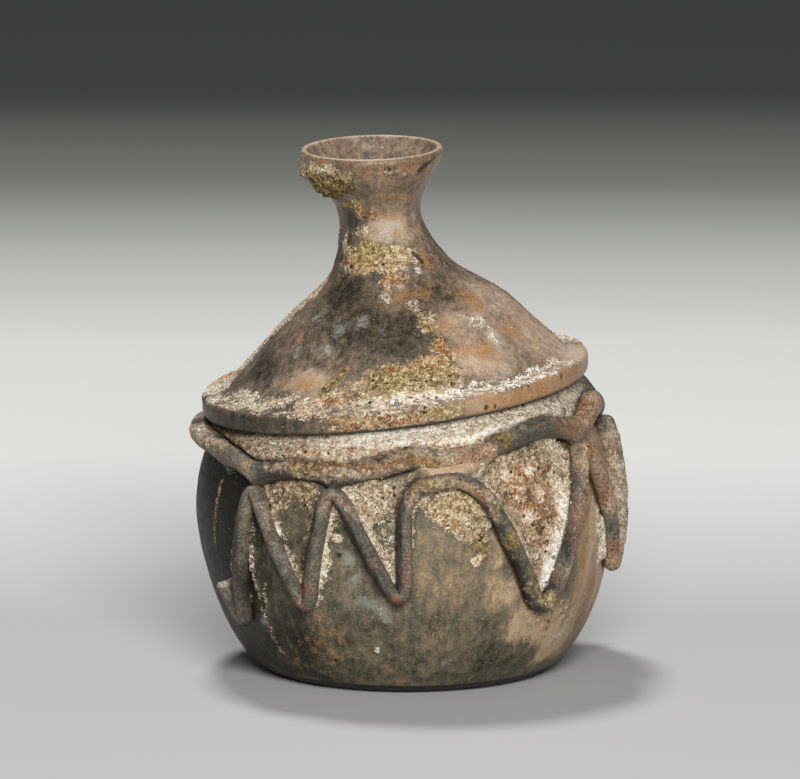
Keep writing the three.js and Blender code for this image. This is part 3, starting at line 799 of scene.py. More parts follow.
collar_tone_patches = [
    (-80, 48, 14, 4, 0.5), (-33, 46, 8, 4, 0.1), (-14, 46, 12, 4, 0.1), (4, 47, 8, 4, 0.1),
    (16, 48.6, 10, 2, 0.8), (31, 47, 4, 3, -0.1), (50, 50, 16, 2, 0.95), (70, 47, 8, 4, 0.35),
    *scattered(rng, 8, (85, 280), (44, 50), (4, 9), (-0.1, 0.9)),
]
collar_shade_patches = [
    (-60, 46.6, 5, 3, 0.64), (-52, 46, 5, 2.6, 0.66), (-46, 44.4, 4, 3, 0.85), (-40, 44, 3, 2, 0.5),
    (-33, 43.4, 5, 2, 0.25), (-23, 43, 5, 1.6, 0.22), (-10, 43, 6, 2, 0.4), (14, 45, 9, 3, 1.15),
    (23, 45.4, 5, 3, 1.1), (31, 46, 3, 3, 0.4), (42, 47.6, 5, 2.6, 0.42), (52, 47, 4, 3, 0.66),
    (60, 46, 5, 4, 0.9), (74, 47, 8, 5, 1.1),
    *scattered(rng, 12, (105, 258), (43, 50), (4, 12), (0.1, 0.8)),
]
collar_rust_patches = [
    (-56.6, 46.2, 2, 0.8), (-53, 45.2, 1.6, 0.7), (-27, 43.4, 3, 0.7), (13, 45, 4, 1), (20, 45.6, 4, 1.2),
    (50, 47.6, 2.4, 1.4), (56, 46.4, 4, 1.6), (66, 46, 3, 2), (72, 46, 3, 2),
    *scattered(rng, 14, collar_behind, (43, 50), (1.5, 6)),
]
collar_stain_patches = [
    (-20, 45.4, 3, 0.8), (-6, 46, 5, 0.9), (4, 45.6, 3, 1), (-29, 46, 2, 0.8), (70, 48, 4, 2),
    *scattered(rng, 8, collar_behind, (43, 50), (1.5, 5)),
]
collar_olive_patches = [
    (-66, 46.6, 5, 2.4, 1), (-27, 46, 4, 2, 0.6), (8, 45.4, 5, 2, 0.8), (31, 47, 5, 3, 1),
    (62, 44, 3, 3, 0.8),
]
thread_crust = 0.12


def thread_layers(grid, seed, crust, tone, shade, rust, olive, stain=()):
    """What is painted on a trail, and how far it lifts the surface."""
    torn = straying(grid, seed)
    ragged, gritty = cloud(grid, 2.4, seed + 1), cloud(grid, 1.2, seed + 2, 2)
    layers = {
        "crust": depth_in(torn, crust) + 0.9 * ragged + 0.4 * gritty - 0.2,
        "tone": level_over(torn, 0.1, tone) + 0.2 * ragged,
        "shade": level_over(torn, 0.38, shade),
        "rust": depth_in(torn, rust) + 0.6 * cloud(grid, 3, seed + 3),
        "stain": depth_in(torn, stain) + 0.8 * cloud(grid, 2.4, seed + 6),
        "pale": 1.6 * cloud(grid, 6, seed + 4) - 1.2,
        "olive": level_over(torn, 0.0, olive),
    }
    crusted = closed(layers["crust"])
    lift = 0.1 * cloud(grid, 5, seed + 5) + 0.03 * gritty
    lift = lift + crusted * (thread_crust + 0.12 * ragged + 0.12 * gritty)
    return layers, lift


def along_and_across(line, turn, size):
    """Mm along a trail from its start, and round its section, for streaks drawn out with it."""
    run = np.concatenate([[0], np.cumsum(np.linalg.norm(np.diff(line, axis=0), axis=1))])[:, None]
    round_section = np.sin(turn / 2) * size * 2
    return {"along": 0.13 * run * MM + 0 * turn, "across": round_section * MM + 0 * run}


collar_layers, collar_lift = thread_layers(
    collar_grid, 12, collar_crust_patches, collar_tone_patches, collar_shade_patches, collar_rust_patches,
    collar_olive_patches, collar_stain_patches,
)
collar_layers |= along_and_across(collar_grid[:, 0], turn, collar_tall)
proud = reach / (outside_radius - inside_radius)
collar_web = smoothstep(12, 5, np.abs(collar_angle - web_patch[0]))
# Painted shade along the collar's underside near the wall, but not where it is drawn down, nor in the web
collar_layers["crease"] = smoothstep(0.3, 0.05, proud) * (np.sin(turn) < 0.2) * (1 - drawn) * (1 - collar_web)
collar_grid = collar_grid + outward(collar_grid) * (collar_lift - thread_crust)[..., None]
collar = skin("collar_trail_glass", lean(collar_grid, jar_lean))
paint(collar, **collar_layers)
trail_glass = weathered_glass(
    "trail_glass",
    [(38, 36, 32), (67, 65, 60), (100, 97, 90), (128, 123, 113), (162, 147, 129), (206, 178, 148)],
    rust=(158, 104, 74), pale=(146, 146, 142), thread=True, rough=0.42, gleam=0.3,
)
collar.data.materials.append(trail_glass)
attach(collar, "jar")
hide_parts("collar_trail")

# Zigzag
# A second thread, laid on in a zigzag while soft and drawn up to the collar at each
# upper bend. It starts at a broken stub at the left front and ends in a thin tail.
zigzag_sides, zigzag_into_wall = 30, 0.35
# Mm of its end over which it is thinned, and what is left of it there
tail_length, tail_share = 14, 0.35
heading = np.gradient(zigzag_middle, axis=0)
for _ in range(3):
    heading[1:-1] = (heading[:-2] + heading[1:-1] + heading[2:]) / 3
heading /= np.linalg.norm(heading, axis=1, keepdims=True)
left = np.linalg.norm(np.diff(zigzag_middle, axis=0), axis=1)[::-1].cumsum()[::-1]
left = np.append(left, 0)[:, None]
zigzag_size = tail_share + (1 - tail_share) * smoothstep(0, tail_length, left)
turn = np.linspace(0, 2 * math.pi, zigzag_sides, endpoint=False)[None, :]
wander = np.concatenate([zigzag_middle, np.zeros((len(zigzag_middle), 1))], 1)
fatness = 1 + 0.12 * cloud(wander, 14, 21, 2)[:, None]
across = trail_width / 2 * zigzag_size * fatness * np.cos(turn)
height = zigzag_middle[:, 1:] + heading[:, :1] * across
degrees = (zigzag_middle[:, :1] - heading[:, 1:] * across) / mm_per_degree


def trail_seat(level):
    """The radius a trail lies at: the wall's, but half way out to the belly's over the shoulder."""
    return (wall_radius(level) + wall_radius(np.minimum(level, belly_height))) / 2


slope = (trail_seat(height + 0.1) - trail_seat(height - 0.1)) / 0.2
sunk = trail_seat(height) - wall_radius(height) + zigzag_into_wall
proud = 0.5 + 0.5 * np.sin(turn)
lift = ((trail_depth * zigzag_size + sunk) * proud - sunk) / np.hypot(1, slope)
zigzag_grid = at_wall(degrees, trail_seat(height) + lift, height - lift * slope)
# Painted shade: a limb is darkened in the crease all round its foot, most along its lower left side, and that
# side is darker all the way up
lower_left = smoothstep(-0.2, 0.8, (heading[:, 1:] - 0.4 * heading[:, :1]) * np.cos(turn))
foot_shade = smoothstep(0.42, 0.08, proud) * (0.3 + 0.7 * lower_left * smoothstep(84, 58, degrees)) + 0 * height
zigzag_crust_patches = [
    (-11, 38, 2.4, 2), (3, 39, 2, 3), (8, 41.4, 4, 1.6), (14, 41.8, 3, 1.4), (24, 37, 1.6, 3),
    (29.4, 30.6, 1.6, 4.4), (35, 24, 1.6, 4), (40, 18.6, 3.4, 1.6), (62, 41, 3, 3), (58, 37.6, 1.4, 3),
    (84, 30, 3, 9), (92, 36, 5, 5), (53, 30, 0.8, 2),
    *scattered(rng, 26, (95, 240), (15, 44), (1.5, 6)),
]
zigzag_tone_patches = [
    (8, 41, 8, 3, 0.3), (30, 27, 6, 10, 0.0), (41, 18, 5, 3, 0.1), (60, 39, 4, 6, 0.4),
    (85, 30, 8, 12, 0.5),
]
zigzag_shade_patches = [
    (-60, 18, 3, 4, 0.5), (-55, 14, 4, 2, 0.46), (-50, 24, 3, 12, 0.1), (-46, 38, 4, 3, 0.4),
    (-40, 36, 4, 6, 0.54), (-35, 27, 3, 6, 0.46), (-30.6, 20, 3, 2.4, 0.5), (-26, 24, 2, 5, 0.56),
    (-24, 31, 3, 6, 0.46), (-19, 39, 4, 2.4, 0.62), (-12, 32, 4, 6, 0.3), (-6, 24, 3, 4, 0.3),
    (0, 22, 3, 2, 0.46), (1.4, 28, 2.4, 6, 0.5), (3, 36, 3, 4, 0.4), (11, 41.6, 6, 2, 1.15),
    (20, 40, 4, 2, 1), (30, 28, 8, 12, 0.42), (47, 23, 3, 4, 0.8), (52, 31, 3, 8, 0.8),
    (60, 40, 5, 3, 0.85), (68, 34, 4, 8, 0.95), (78, 22, 6, 4, 1.05), (88, 32, 8, 12, 1.05),
    *scattered(rng, 14, (100, 240), (16, 44), (4, 9), (0.15, 0.8)),
]
zigzag_rust_patches = [
    (-29, 18.6, 2.6, 1.4), (-26.8, 21.8, 1.4, 3), (-1.6, 20.8, 3, 1.4), (-21, 39, 1.6, 0.8),
    (-16, 39, 2, 0.7), (-14, 37.4, 0.8, 1.6), (1, 27, 1.2, 4), (2, 32, 0.8, 3), (-52.6, 21, 0.7, 3),
    (-54.6, 14.4, 1.6, 0.8), (-61, 19, 0.7, 1.4), (-37, 30.6, 0.5, 3), (-8.4, 26.6, 0.5, 2.6),
    (21, 40, 2, 1), (15, 42, 2, 0.8), (51, 29, 2, 7), (56.6, 37, 1.6, 3), (46, 21, 1, 2.4),
    (67, 34, 2, 7), (76, 24, 2, 3),
    *scattered(rng, 20, (100, 240), (16, 44), (1.2, 4)),
]
zigzag_stain_patches = [
    (61, 41, 2, 2), (5, 40.6, 2, 1.4),
    *scattered(rng, 8, (80, 240), (15, 44), (1.5, 5)),
]
zigzag_olive_patches = [
    (30, 27, 8, 12, 1), (60, 40, 4, 5, 0.7), (40, 18.6, 5, 3, 0.7), (8, 41, 6, 3, 0.6),
]
zigzag_layers, zigzag_lift = thread_layers(
    zigzag_grid, 22, zigzag_crust_patches, zigzag_tone_patches, zigzag_shade_patches, zigzag_rust_patches,
    zigzag_olive_patches, zigzag_stain_patches,
)
zigzag_layers |= along_and_across(wander, turn, trail_width)
# Painted light and shade: the limbs are lightened all over and darkened along their lower left sides, except
# at the third loop's top, which runs into the smooth web over it, and on the limbs right of it
in_web = smoothstep(9, 5, np.abs(degrees - 14)) * smoothstep(37, 39.5, height)
shadowed = smoothstep(62, 44, degrees) * (1 - in_web)
zigzag_layers["shade"] = zigzag_layers["shade"] + 0.16 - 0.42 * lower_left * shadowed
# The painted shade in the creases fades out where a bend is drawn up into the collar
at_collar = drawn_down(degrees) * smoothstep(38, 41, height)
zigzag_layers["crease"] = foot_shade * (1 - at_collar)
# The broken end of the stub is a pale, torn face
stub_end = np.linalg.norm(wander - wander[0], axis=1)[:, None] + 0 * turn
zigzag_layers["crust"] = np.maximum(zigzag_layers["crust"], 1.1 - stub_end)
zigzag_layers["tone"] = np.where(stub_end < 2, 0.7, zigzag_layers["tone"])
zigzag_lift = zigzag_lift + 0.5 * smoothstep(1.6, 0, stub_end) * cloud(zigzag_grid, 1.6, 29, 2)
zigzag_grid = zigzag_grid + outward(zigzag_grid) * (zigzag_lift - 0.1)[..., None]
zigzag = skin("zigzag_trail_glass", lean(zigzag_grid, jar_lean))
paint(zigzag, **zigzag_layers)
zigzag.data.materials.append(trail_glass)
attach(zigzag, "jar")
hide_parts("zigzag_trail")

# Pontil scar
# The torn ring of glass under the hollow base, left where the iron rod that held the hot
# jar was cracked off.
scar_rows, scar_columns, scar_thickness = 26, 150, 1
scar_drop, scar_hole_share = 0.75, 0.56
scar_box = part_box("pontil_scar")
scar_outer = (scar_box[1][0] - scar_box[0][0]) / MM / 2 - 0.1
scar_inner = scar_outer * scar_hole_share
scar_turn = np.linspace(0, 2 * math.pi, scar_rows, endpoint=False)
scar_middle = (scar_outer + scar_inner) / 2
scar_profile = np.stack([
    scar_middle + (scar_outer - scar_inner) / 2 * np.cos(scar_turn),
    scar_box[1][2] / MM - scar_drop + scar_thickness / 2 * np.sin(scar_turn),
], -1)
scar_grid = ring_grid(scar_profile, scar_columns)
torn_edge = 0.35 * cloud(scar_grid, 4, 41) + 0.12 * cloud(scar_grid, 1.2, 42)
scar_grid = scar_grid + outward(scar_grid, joined=True) * np.clip(torn_edge - 0.15, -0.4, 0.1)[..., None]
scar = skin("pontil_scar_glass", lean(scar_grid, jar_lean), joined=True)
scar_layers, _ = thread_layers(
    scar_grid, 43, crust=[(0, 2, 3, 2), (120, 2, 4, 2)], tone=[], shade=[(200, 2, 9, 3, 0.7)],
    rust=[(60, 2, 3, 2)], olive=[],
)
paint(scar, **scar_layers, along=0 * torn_edge, across=torn_edge * MM)
scar.data.materials.append(trail_glass)
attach(scar, "jar")
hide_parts("pontil_scar")

# Lid
# A second blown bubble: a skirt that drops into the mouth, a flange folded out over the
# rim, a cone, and a drawn-out neck with a flared lip, which serves as the knob. A thick
# lump of crust hangs on the knob's left side.
seat_gap, skirt_depth, skirt_clearance = 0.3, 5, 0.9
flange_radius, flange_height, flange_ledge = 36.2, 3.9, 3.6
neck_radius, lip_radius, lid_height, lid_wall = 7.5, 13.3, 46.4, 1.7
fold = 1.2
bubble_step, lid_columns = 0.48, 440
# Radius and height of the blown cone and neck above the ledge
lid_stations = np.array([
    (flange_radius - flange_ledge, flange_height + 0.2), (26.6, 10), (20.7, 16), (12.8, 22), (9.9, 26.2),
    (8.3, 30), (neck_radius, 33.6), (8.2, 36.8), (9.9, 40), (12, 43.2), (lip_radius, lid_height - 1),
])
lid_lean = np.array([
    (0, 0, 0), (4, 0.4, 0), (10, 1.3, 0), (16, 2.1, 0), (22, 2.1, 0), (27, 1.7, -1.4), (33.2, 1.25, -3.6),
    (46.6, 1.1, -5.4),
])


def through(stations, per_span):
    """A Catmull-Rom line through the stations."""
    padded = np.vstack([2 * stations[0] - stations[1], stations, 2 * stations[-1] - stations[-2]])
    line = []
    for a, b, c, d in zip(padded, padded[1:], padded[2:], padded[3:]):
        for t in np.linspace(0, 1, per_span, endpoint=False):
            bend = (2 * a - 5 * b + 4 * c - d) * t * t + (3 * b - a - 3 * c + d) * t ** 3
            line.append(0.5 * (2 * b + (c - a) * t + bend))
    return np.array([*line, stations[-1]])


bubble = even(through(lid_stations, 12), bubble_step)
along = np.gradient(bubble, axis=0)
along /= np.linalg.norm(along, axis=1, keepdims=True)
bubble_inside = (bubble + np.stack([-along[:, 1], along[:, 0]], -1) * lid_wall)[::-3]
skirt = mouth_radius - skirt_clearance
skirt_inside = skirt - lid_wall
bubble_inside = bubble_inside[bubble_inside[:, 0] < skirt_inside - 0.3]
lip_middle = (bubble[-1] + bubble_inside[0]) / 2 - (0, 0.06)
below_flange = even(np.array([
    (skirt_inside, -skirt_depth + 0.4), (skirt_inside + 0.5, -skirt_depth), (skirt - 0.5, -skirt_depth),
    (skirt, -skirt_depth + 0.5), (skirt, -0.4), (skirt + 0.4, 0), (flange_radius - fold, 0),
]), 0.7)
flange_side = np.vstack([
    arc((flange_radius - fold, fold), fold, -80, 0, 5),
    arc((flange_radius - fold, flange_height - fold), fold, 0, 90, 6),
    even(np.array([(flange_radius - fold - 0.4, flange_height), bubble[0]]), 0.5)[:-1],
])
lid_profile = np.vstack([
    below_flange, flange_side, bubble[:-1], arc(lip_middle, lid_wall / 2, -35, 145, 9), bubble_inside[1:],
    even(np.array([(skirt_inside, flange_height - 1), (skirt_inside, -skirt_depth + 1)]), 1.5),
])
lid_grid = ring_grid(lid_profile, lid_columns)
first_out = len(below_flange) - 3
last_out = len(below_flange) + len(flange_side) + len(bubble) + 4
is_outside = np.zeros(lid_grid.shape[:2])
is_outside[first_out:last_out] = 1

# Heights on the lid are counted from the flange's underside
lid_behind = (105, 256)
lid_crust_patches = [
    (-92, 5, 5, 1.8), (-101, 8, 6.4, 4.6), (-105, 15, 8, 9), (-62, 4.7, 7, 0.8), (-45, 4.8, 8, 0.9),
    (-31, 4.8, 5, 1.2), (-18, 5.4, 6, 1.8), (-6, 6.4, 6, 2.8), (4, 7.2, 6, 3.2), (13, 7.4, 5.4, 3.4),
    (20, 6.6, 2.4, 2.6), (27, 4.8, 5, 0.7), (21, 9, 2, 2.2), (18.6, 11.8, 1.8, 2), (16.6, 15.6, 2.6, 2),
    (13, 18.6, 0.9, 1), (-4, 20.6, 0.8, 1), (-6.4, 22.4, 1.4, 1.4), (4, 23.4, 2.6, 1.4),
    (-10, 27, 3.6, 2.6), (-28, 27.6, 4, 3.4), (-46, 26, 2, 2), (10, 27, 3, 2.2), (24, 26.8, 2.2, 1.4),
    (-62, 28, 1.4, 3), (-30, 32.4, 1.8, 1.4), (-18, 35.4, 2.6, 1.3), (-34, 37, 2.6, 1.2),
    (-44, 42, 5.6, 3), (-66, 42, 6, 3.6), (-86, 43, 5, 3), (-6, 2, 9, 2.4), (8, 2, 6, 2),
    (17, 1.6, 3, 1.4), (-16, 2.6, 4, 1.4), (-24, 3.4, 4, 0.8), (0, 4.3, everywhere, 0.5),
    (16, 44.6, 1.6, 0.6), (42, 14.8, 1.3, 0.9), (46.4, 12, 0.9, 0.9),
    *scattered(rng, 20, lid_behind, (2, 14), (2, 9)),
    *scattered(rng, 12, lid_behind, (16, 44), (1.5, 5)),
]
lid_bare_patches = [
    (-60, 2, 18, 1.9), (-34, 1.8, 5, 1.6), (30, 2, 4, 1.4), (42, 2, 8, 1.7), (56, 2, 8, 1.8),
    (-2, 8.4, 2, 0.8), (-38, 8, 4, 1.6), (-64, 8.4, 5, 2.6), (88, 5, 10, 3.4),
]
# Where only specks of crust have stayed on, by a fifth value that rises to 0 as they close up
lid_speckled_patches = [
    (52, 10, 17, 7, -0.62), (34, 6.4, 8, 2, -0.45), (-40, 5.8, 9, 1.6, -0.1), (-24, 20, 9, 4, -1.05),
    (30, 20, 9, 5, -0.9), (68, 16, 9, 9, -0.42), (24, 30, 8, 5, -0.9), (60, 26, 11, 5, -0.5),
    (50, 20, 7, 4, -0.66),
]
lid_tone_patches = [
    (-90, 8, 14, 10, 0.5), (-62, 5, 10, 2, 0.5), (-34, 5, 8, 2, 0.4), (-8, 6, 12, 4, -0.15),
    (14, 7, 8, 4, -0.15), (2, 5, 10, 1.2, 0.7), (8, 2, 14, 3, 0.05), (-14, 2, 8, 3, 0),
    (40, 4.4, 30, 1.2, 1.1), (16, 13, 5, 5, 0.1), (52, 11, 17, 6, 0.1), (-22, 28, 8, 5, 0.1),
    (12, 26.6, 6, 3, 0.45), (-62, 29, 3, 6, 0.3), (-50, 41, 12, 5, -0.55), (-30, 35, 6, 3, -0.1),
    (-52, 45, 6, 1.4, 0.3), (-92, 43, 6, 3, 0.3), (42, 14, 3, 3, 0.7),
    *scattered(rng, 10, lid_behind, (2, 44), (5, 12), (-0.1, 0.9)),
]
lid_shade_patches = [
    (-72, 13, 6, 7, 0.24), (-62, 9, 5, 3, 0.22), (-50, 15, 7, 6, 0.36), (-68, 15.4, 6, 5, 0.5),
    (-50, 21.6, 5, 2.4, 0.26), (-38, 21.8, 6, 3, 0.22), (-24, 21, 4, 3, 0.28), (-14, 21.6, 4, 3, 0.44),
    (-10, 17.6, 7, 3.6, 0.26), (-26, 16, 4, 3, 0.16), (-38, 11, 5, 2, 0.4), (-11, 13, 9, 4, 0.36),
    (6, 12.6, 6, 3, 0.24), (-34, 7.8, 5.4, 2, 0.88), (-20, 6.6, 3, 1.4, 0.7), (-4, 17, 6, 4, 0.28),
    (6, 20, 4, 2.4, 0.56), (14, 22, 5, 2, 0.72), (24, 20.6, 5, 3.4, 0.44), (36, 20, 5, 5, 0.36),
    (32, 14.6, 6, 3, 0.8), (36, 9, 9, 4, 0.9), (50, 12, 9, 6, 0.72), (67, 8, 9, 6, 0.68),
    (60, 18, 5, 6, 0.56), (84, 11, 14, 12, 0.86), (88, 4.6, 10, 3, 1), (-58, 2, 22, 2.4, 0.2),
    (-34, 2, 6, 2, 0.28), (46, 2, 26, 2.2, 0.92), (30, 26, 4, 4, 0.56), (44, 25, 5, 4, 0.44),
    (50, 30, 5, 4, 0.5), (10, 32, 8, 4.4, 0.86), (34, 33.4, 5, 2.4, 1.05), (20, 39, 9, 3, 0.52),
    (0, 42, 8, 2.4, 0.6), (60, 38, 8, 6, 0.5), (-50, 34, 4, 3, 0.1), (-70, 30, 4, 6, 0.06),
    *scattered(rng, 16, lid_behind, (1, 44), (6, 16), (0.1, 0.95)),
]
lid_rust_patches = [
    (8, 34.4, 1.1, 0.7), (17, 31.4, 1.3, 0.7), (22, 34.6, 1, 0.6), (46, 2, 18, 2.6), (66, 2.4, 6, 2),
    (-44, 45.2, 9, 1), (-14, 45.2, 8, 0.8), (30, 45.2, 8, 0.9), (50, 44.8, 4, 1), (4, 20.6, 3, 1.4),
    (20, 20.8, 3, 1.2), (27, 15, 1.4, 1), (30, 10.4, 3, 1.4), (50, 18, 2, 2), (58, 12, 3, 2),
    (-54.8, 14.8, 0.8, 1), (42, 26, 2, 2), (24, 38, 3, 0.8), (-35, 7.6, 3, 1.2), (38, 10, 3, 2),
    *scattered(rng, 16, lid_behind, (1, 44), (1.5, 6)),
]
lid_stain_patches = [
    (-26, 5, 3, 0.6), (-8, 9, 3, 0.6), (10, 9.8, 4, 0.6), (19, 12, 2, 2.6), (2, 2, 6, 1),
    (-2, 23.4, 3, 1), (-30, 26, 3, 0.6), (-20, 35, 3, 1), (-14, 2, 3, 0.8),
    *scattered(rng, 12, lid_behind, (1, 44), (1.5, 6)),
]
lid_pale_patches = [
    (-35.2, 13.4, 3, 1.7), (-31, 16.2, 2, 1.6), (-20, 17.6, 1.2, 1), (-8, 16.4, 0.9, 0.9),
    (-50, 12.6, 2, 1.2), (-52, 18, 1.6, 1.4), (16, 33, 2.4, 1.4), (2, 32, 1.4, 1.2), (46, 11, 2, 2),
    (30, 24, 0.8, 0.8), (88, 5, 5, 1.6), (36, 6, 4, 1),
    *scattered(rng, 8, lid_behind, (4, 40), (2, 5)),
]
lid_olive_patches = [
    (-50, 40, 12, 5, 1), (-22, 28, 9, 4, 0.9), (8, 27, 5, 3, 0.6), (16, 12, 5, 6, 0.8),
    (4, 7.6, 12, 3, 0.7), (16, 2, 8, 2, 0.7), (-10, 2, 8, 2, 0.4),
    *scattered(rng, 6, (90, 280), (4, 40), (3, 8), (0.3, 1)),
]
lid_pits = [
    (32, 27.2, 0.5), (35, 26.6, 0.55), (38, 25.8, 0.5), (45, 43.6, 0.6), (48.2, 43.9, 0.85),
    (51.6, 44.3, 0.75), (55, 44.7, 0.55), (60, 45.3, 0.45), (10, 44.5, 0.25), (14, 44.4, 0.35),
    (19, 44.5, 0.3), (28, 1.4, 0.6), (31, 1.1, 0.4), (44, 3.3, 0.35), (60, 2.9, 0.5), (60.8, 1.8, 0.3),
    (-76, 4.6, 0.4),
]
lid_knobs = [(28.8, 24.2, 0.65), (41.4, 14.9, 0.6), (43, 14.2, 0.5), (46, 11.8, 0.5), (14, 19.4, 0.4)]
knob_lump_patches = [(-66, 42.2, 8, 4.8), (-46, 41.6, 5, 3), (-84, 42.8, 6, 3.8)]
lump_thickness = 1.6
# A short diagonal rib of crust low on the cone, and the white line along the flange's upper
# edge, as degrees and height
crust_rib = [(-26.6, 6.8), (-23.4, 8.4), (-20.4, 9.8)]
white_line = [(9, 4.2), (30, 4.1), (48, 4.2), (66, 4.4)]
rib_width, line_width = 1.5, 0.7

torn = straying(lid_grid, 31, 0.6)
exact = around_axis(lid_grid)
lumps, ragged, gritty = cloud(lid_grid, 9, 31), cloud(lid_grid, 2.5, 32), cloud(lid_grid, 1.3, 33, 2)
lid_crust = depth_in(torn, lid_crust_patches) - 2 * np.maximum(depth_in(exact, lid_bare_patches), 0)
lid_crust = lid_crust + 0.8 * ragged + 0.4 * lumps + 0.5 * gritty - 0.1
lid_crust = np.maximum(lid_crust, level_over(torn, -3, lid_speckled_patches))
lid_crust = np.maximum(lid_crust, 2 * spotted(exact, lid_knobs) + 0.2)
at_flange = (math.radians(flange_radius - flange_ledge), 1)
lid_flat = np.stack([exact[0], exact[1]], -1) * at_flange
from_rib = distance_to(even(np.array(crust_rib) * at_flange, 0.3), lid_flat)[0]
from_line = distance_to(even(np.array(white_line) * at_flange, 0.4), lid_flat)[0]
in_rib = rib_width / 2 - from_rib + 0.2 * gritty
in_line = line_width / 2 - from_line + 0.3 * gritty + 0.2 * ragged
lid_crust = np.maximum(lid_crust, np.maximum(2 * in_rib, 2 * in_line))
lid_crust = np.where(is_outside > 0, lid_crust, 1.5 * ragged + lumps - 1.2)
lid_tone = level_over(torn, 0.1, lid_tone_patches) + 0.25 * lumps
lid_tone = np.where(spotted(exact, lid_knobs) > -0.2, 0.7, lid_tone)
lid_tone = np.where(in_rib > -0.3, -0.2, lid_tone)
lid_shade = np.where(is_outside > 0, level_over(torn, 0.5, lid_shade_patches), 0.53) + 0.06 * lumps
# Painted highlight: a thin light line along the crest of the lip
lip_top = float(lid_profile[:, 1].max())
lid_shade = lid_shade + 0.4 * smoothstep(lip_top - 0.22, lip_top - 0.04, lid_grid[..., 2])
lid_rust = depth_in(torn, lid_rust_patches) + 0.9 * cloud(lid_grid, 2, 34)
lid_layers = {
    "crust": lid_crust, "tone": lid_tone, "shade": lid_shade,
    "rust": np.where(is_outside > 0, lid_rust, 1.5 * ragged - 1.6),
    "stain": depth_in(torn, lid_stain_patches) + 0.8 * cloud(lid_grid, 2.4, 36),
    "pale": depth_in(torn, lid_pale_patches) + 1.2 * cloud(lid_grid, 4, 35) - 0.3,
    "olive": np.where(in_rib > -0.3, 1, level_over(torn, 0, lid_olive_patches)),
    "pit": pitted(exact, lid_pits, gritty),
    # Painted shade along the flange's lower edge, where it sits on the rim
    "crease": smoothstep(0.7, 0.1, lid_grid[..., 2]) * is_outside,
}
crusted = closed(lid_crust)
lump = smoothstep(-0.5, 3.4, depth_in(torn, knob_lump_patches)) * is_outside
lid_relief = (
    0.09 * lumps + crusted * (crust_thickness + 0.1 * ragged + 0.13 * gritty) + 0.02 * gritty
    - pit_depth * smoothstep(-0.1, 0.35, lid_layers["pit"]) + 0.4 * smoothstep(-0.1, 0.4, in_rib)
    + lump * (lump_thickness + 0.5 * ragged + 0.4 * gritty)
)
above_seat = smoothstep(0.6, 1.6, lid_grid[..., 2]) * (1 - 0.9 * smoothstep(44.2, 45.6, lid_grid[..., 2]))
lid_shape = lid_grid + outward(lid_grid, joined=True) * (lid_relief * is_outside * above_seat)[..., None]

# The lid stands square on the tipped rim
seat_height = np.array(rim_height + seat_gap)
seat_shift = float(eased(jar_lean, 1, seat_height))
seat_tilt = math.radians(float(eased(jar_lean, 2, seat_height)))
leaned = lean(lid_shape, lid_lean)
lid_shape = np.stack([
    seat_shift + leaned[..., 0] * math.cos(seat_tilt) - leaned[..., 2] * math.sin(seat_tilt),
    leaned[..., 1],
    float(seat_height) + leaned[..., 0] * math.sin(seat_tilt) + leaned[..., 2] * math.cos(seat_tilt),
], -1)
lid = skin("lid_glass_shell", lid_shape, joined=True)
paint(lid, **lid_layers)
lid_glass = weathered_glass(
    "lid_glass",
    [(42, 39, 33), (69, 63, 54), (103, 92, 80), (136, 119, 104), (166, 146, 128), (194, 173, 154)],
    rust=(176, 129, 78), pale=(172, 172, 162), rough=0.42, gleam=0.3,
)
lid.data.materials.append(lid_glass)
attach(lid, "lid")
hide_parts("lid_shell")

# Grains of crust
# Sand and lime that stand out of the crust as single grains, strewn over the jar with
# its trails and over the lid wherever the crust lies.
grains_per_mm2, smallest_grain, largest_grain = 0.8, 0.07, 0.22


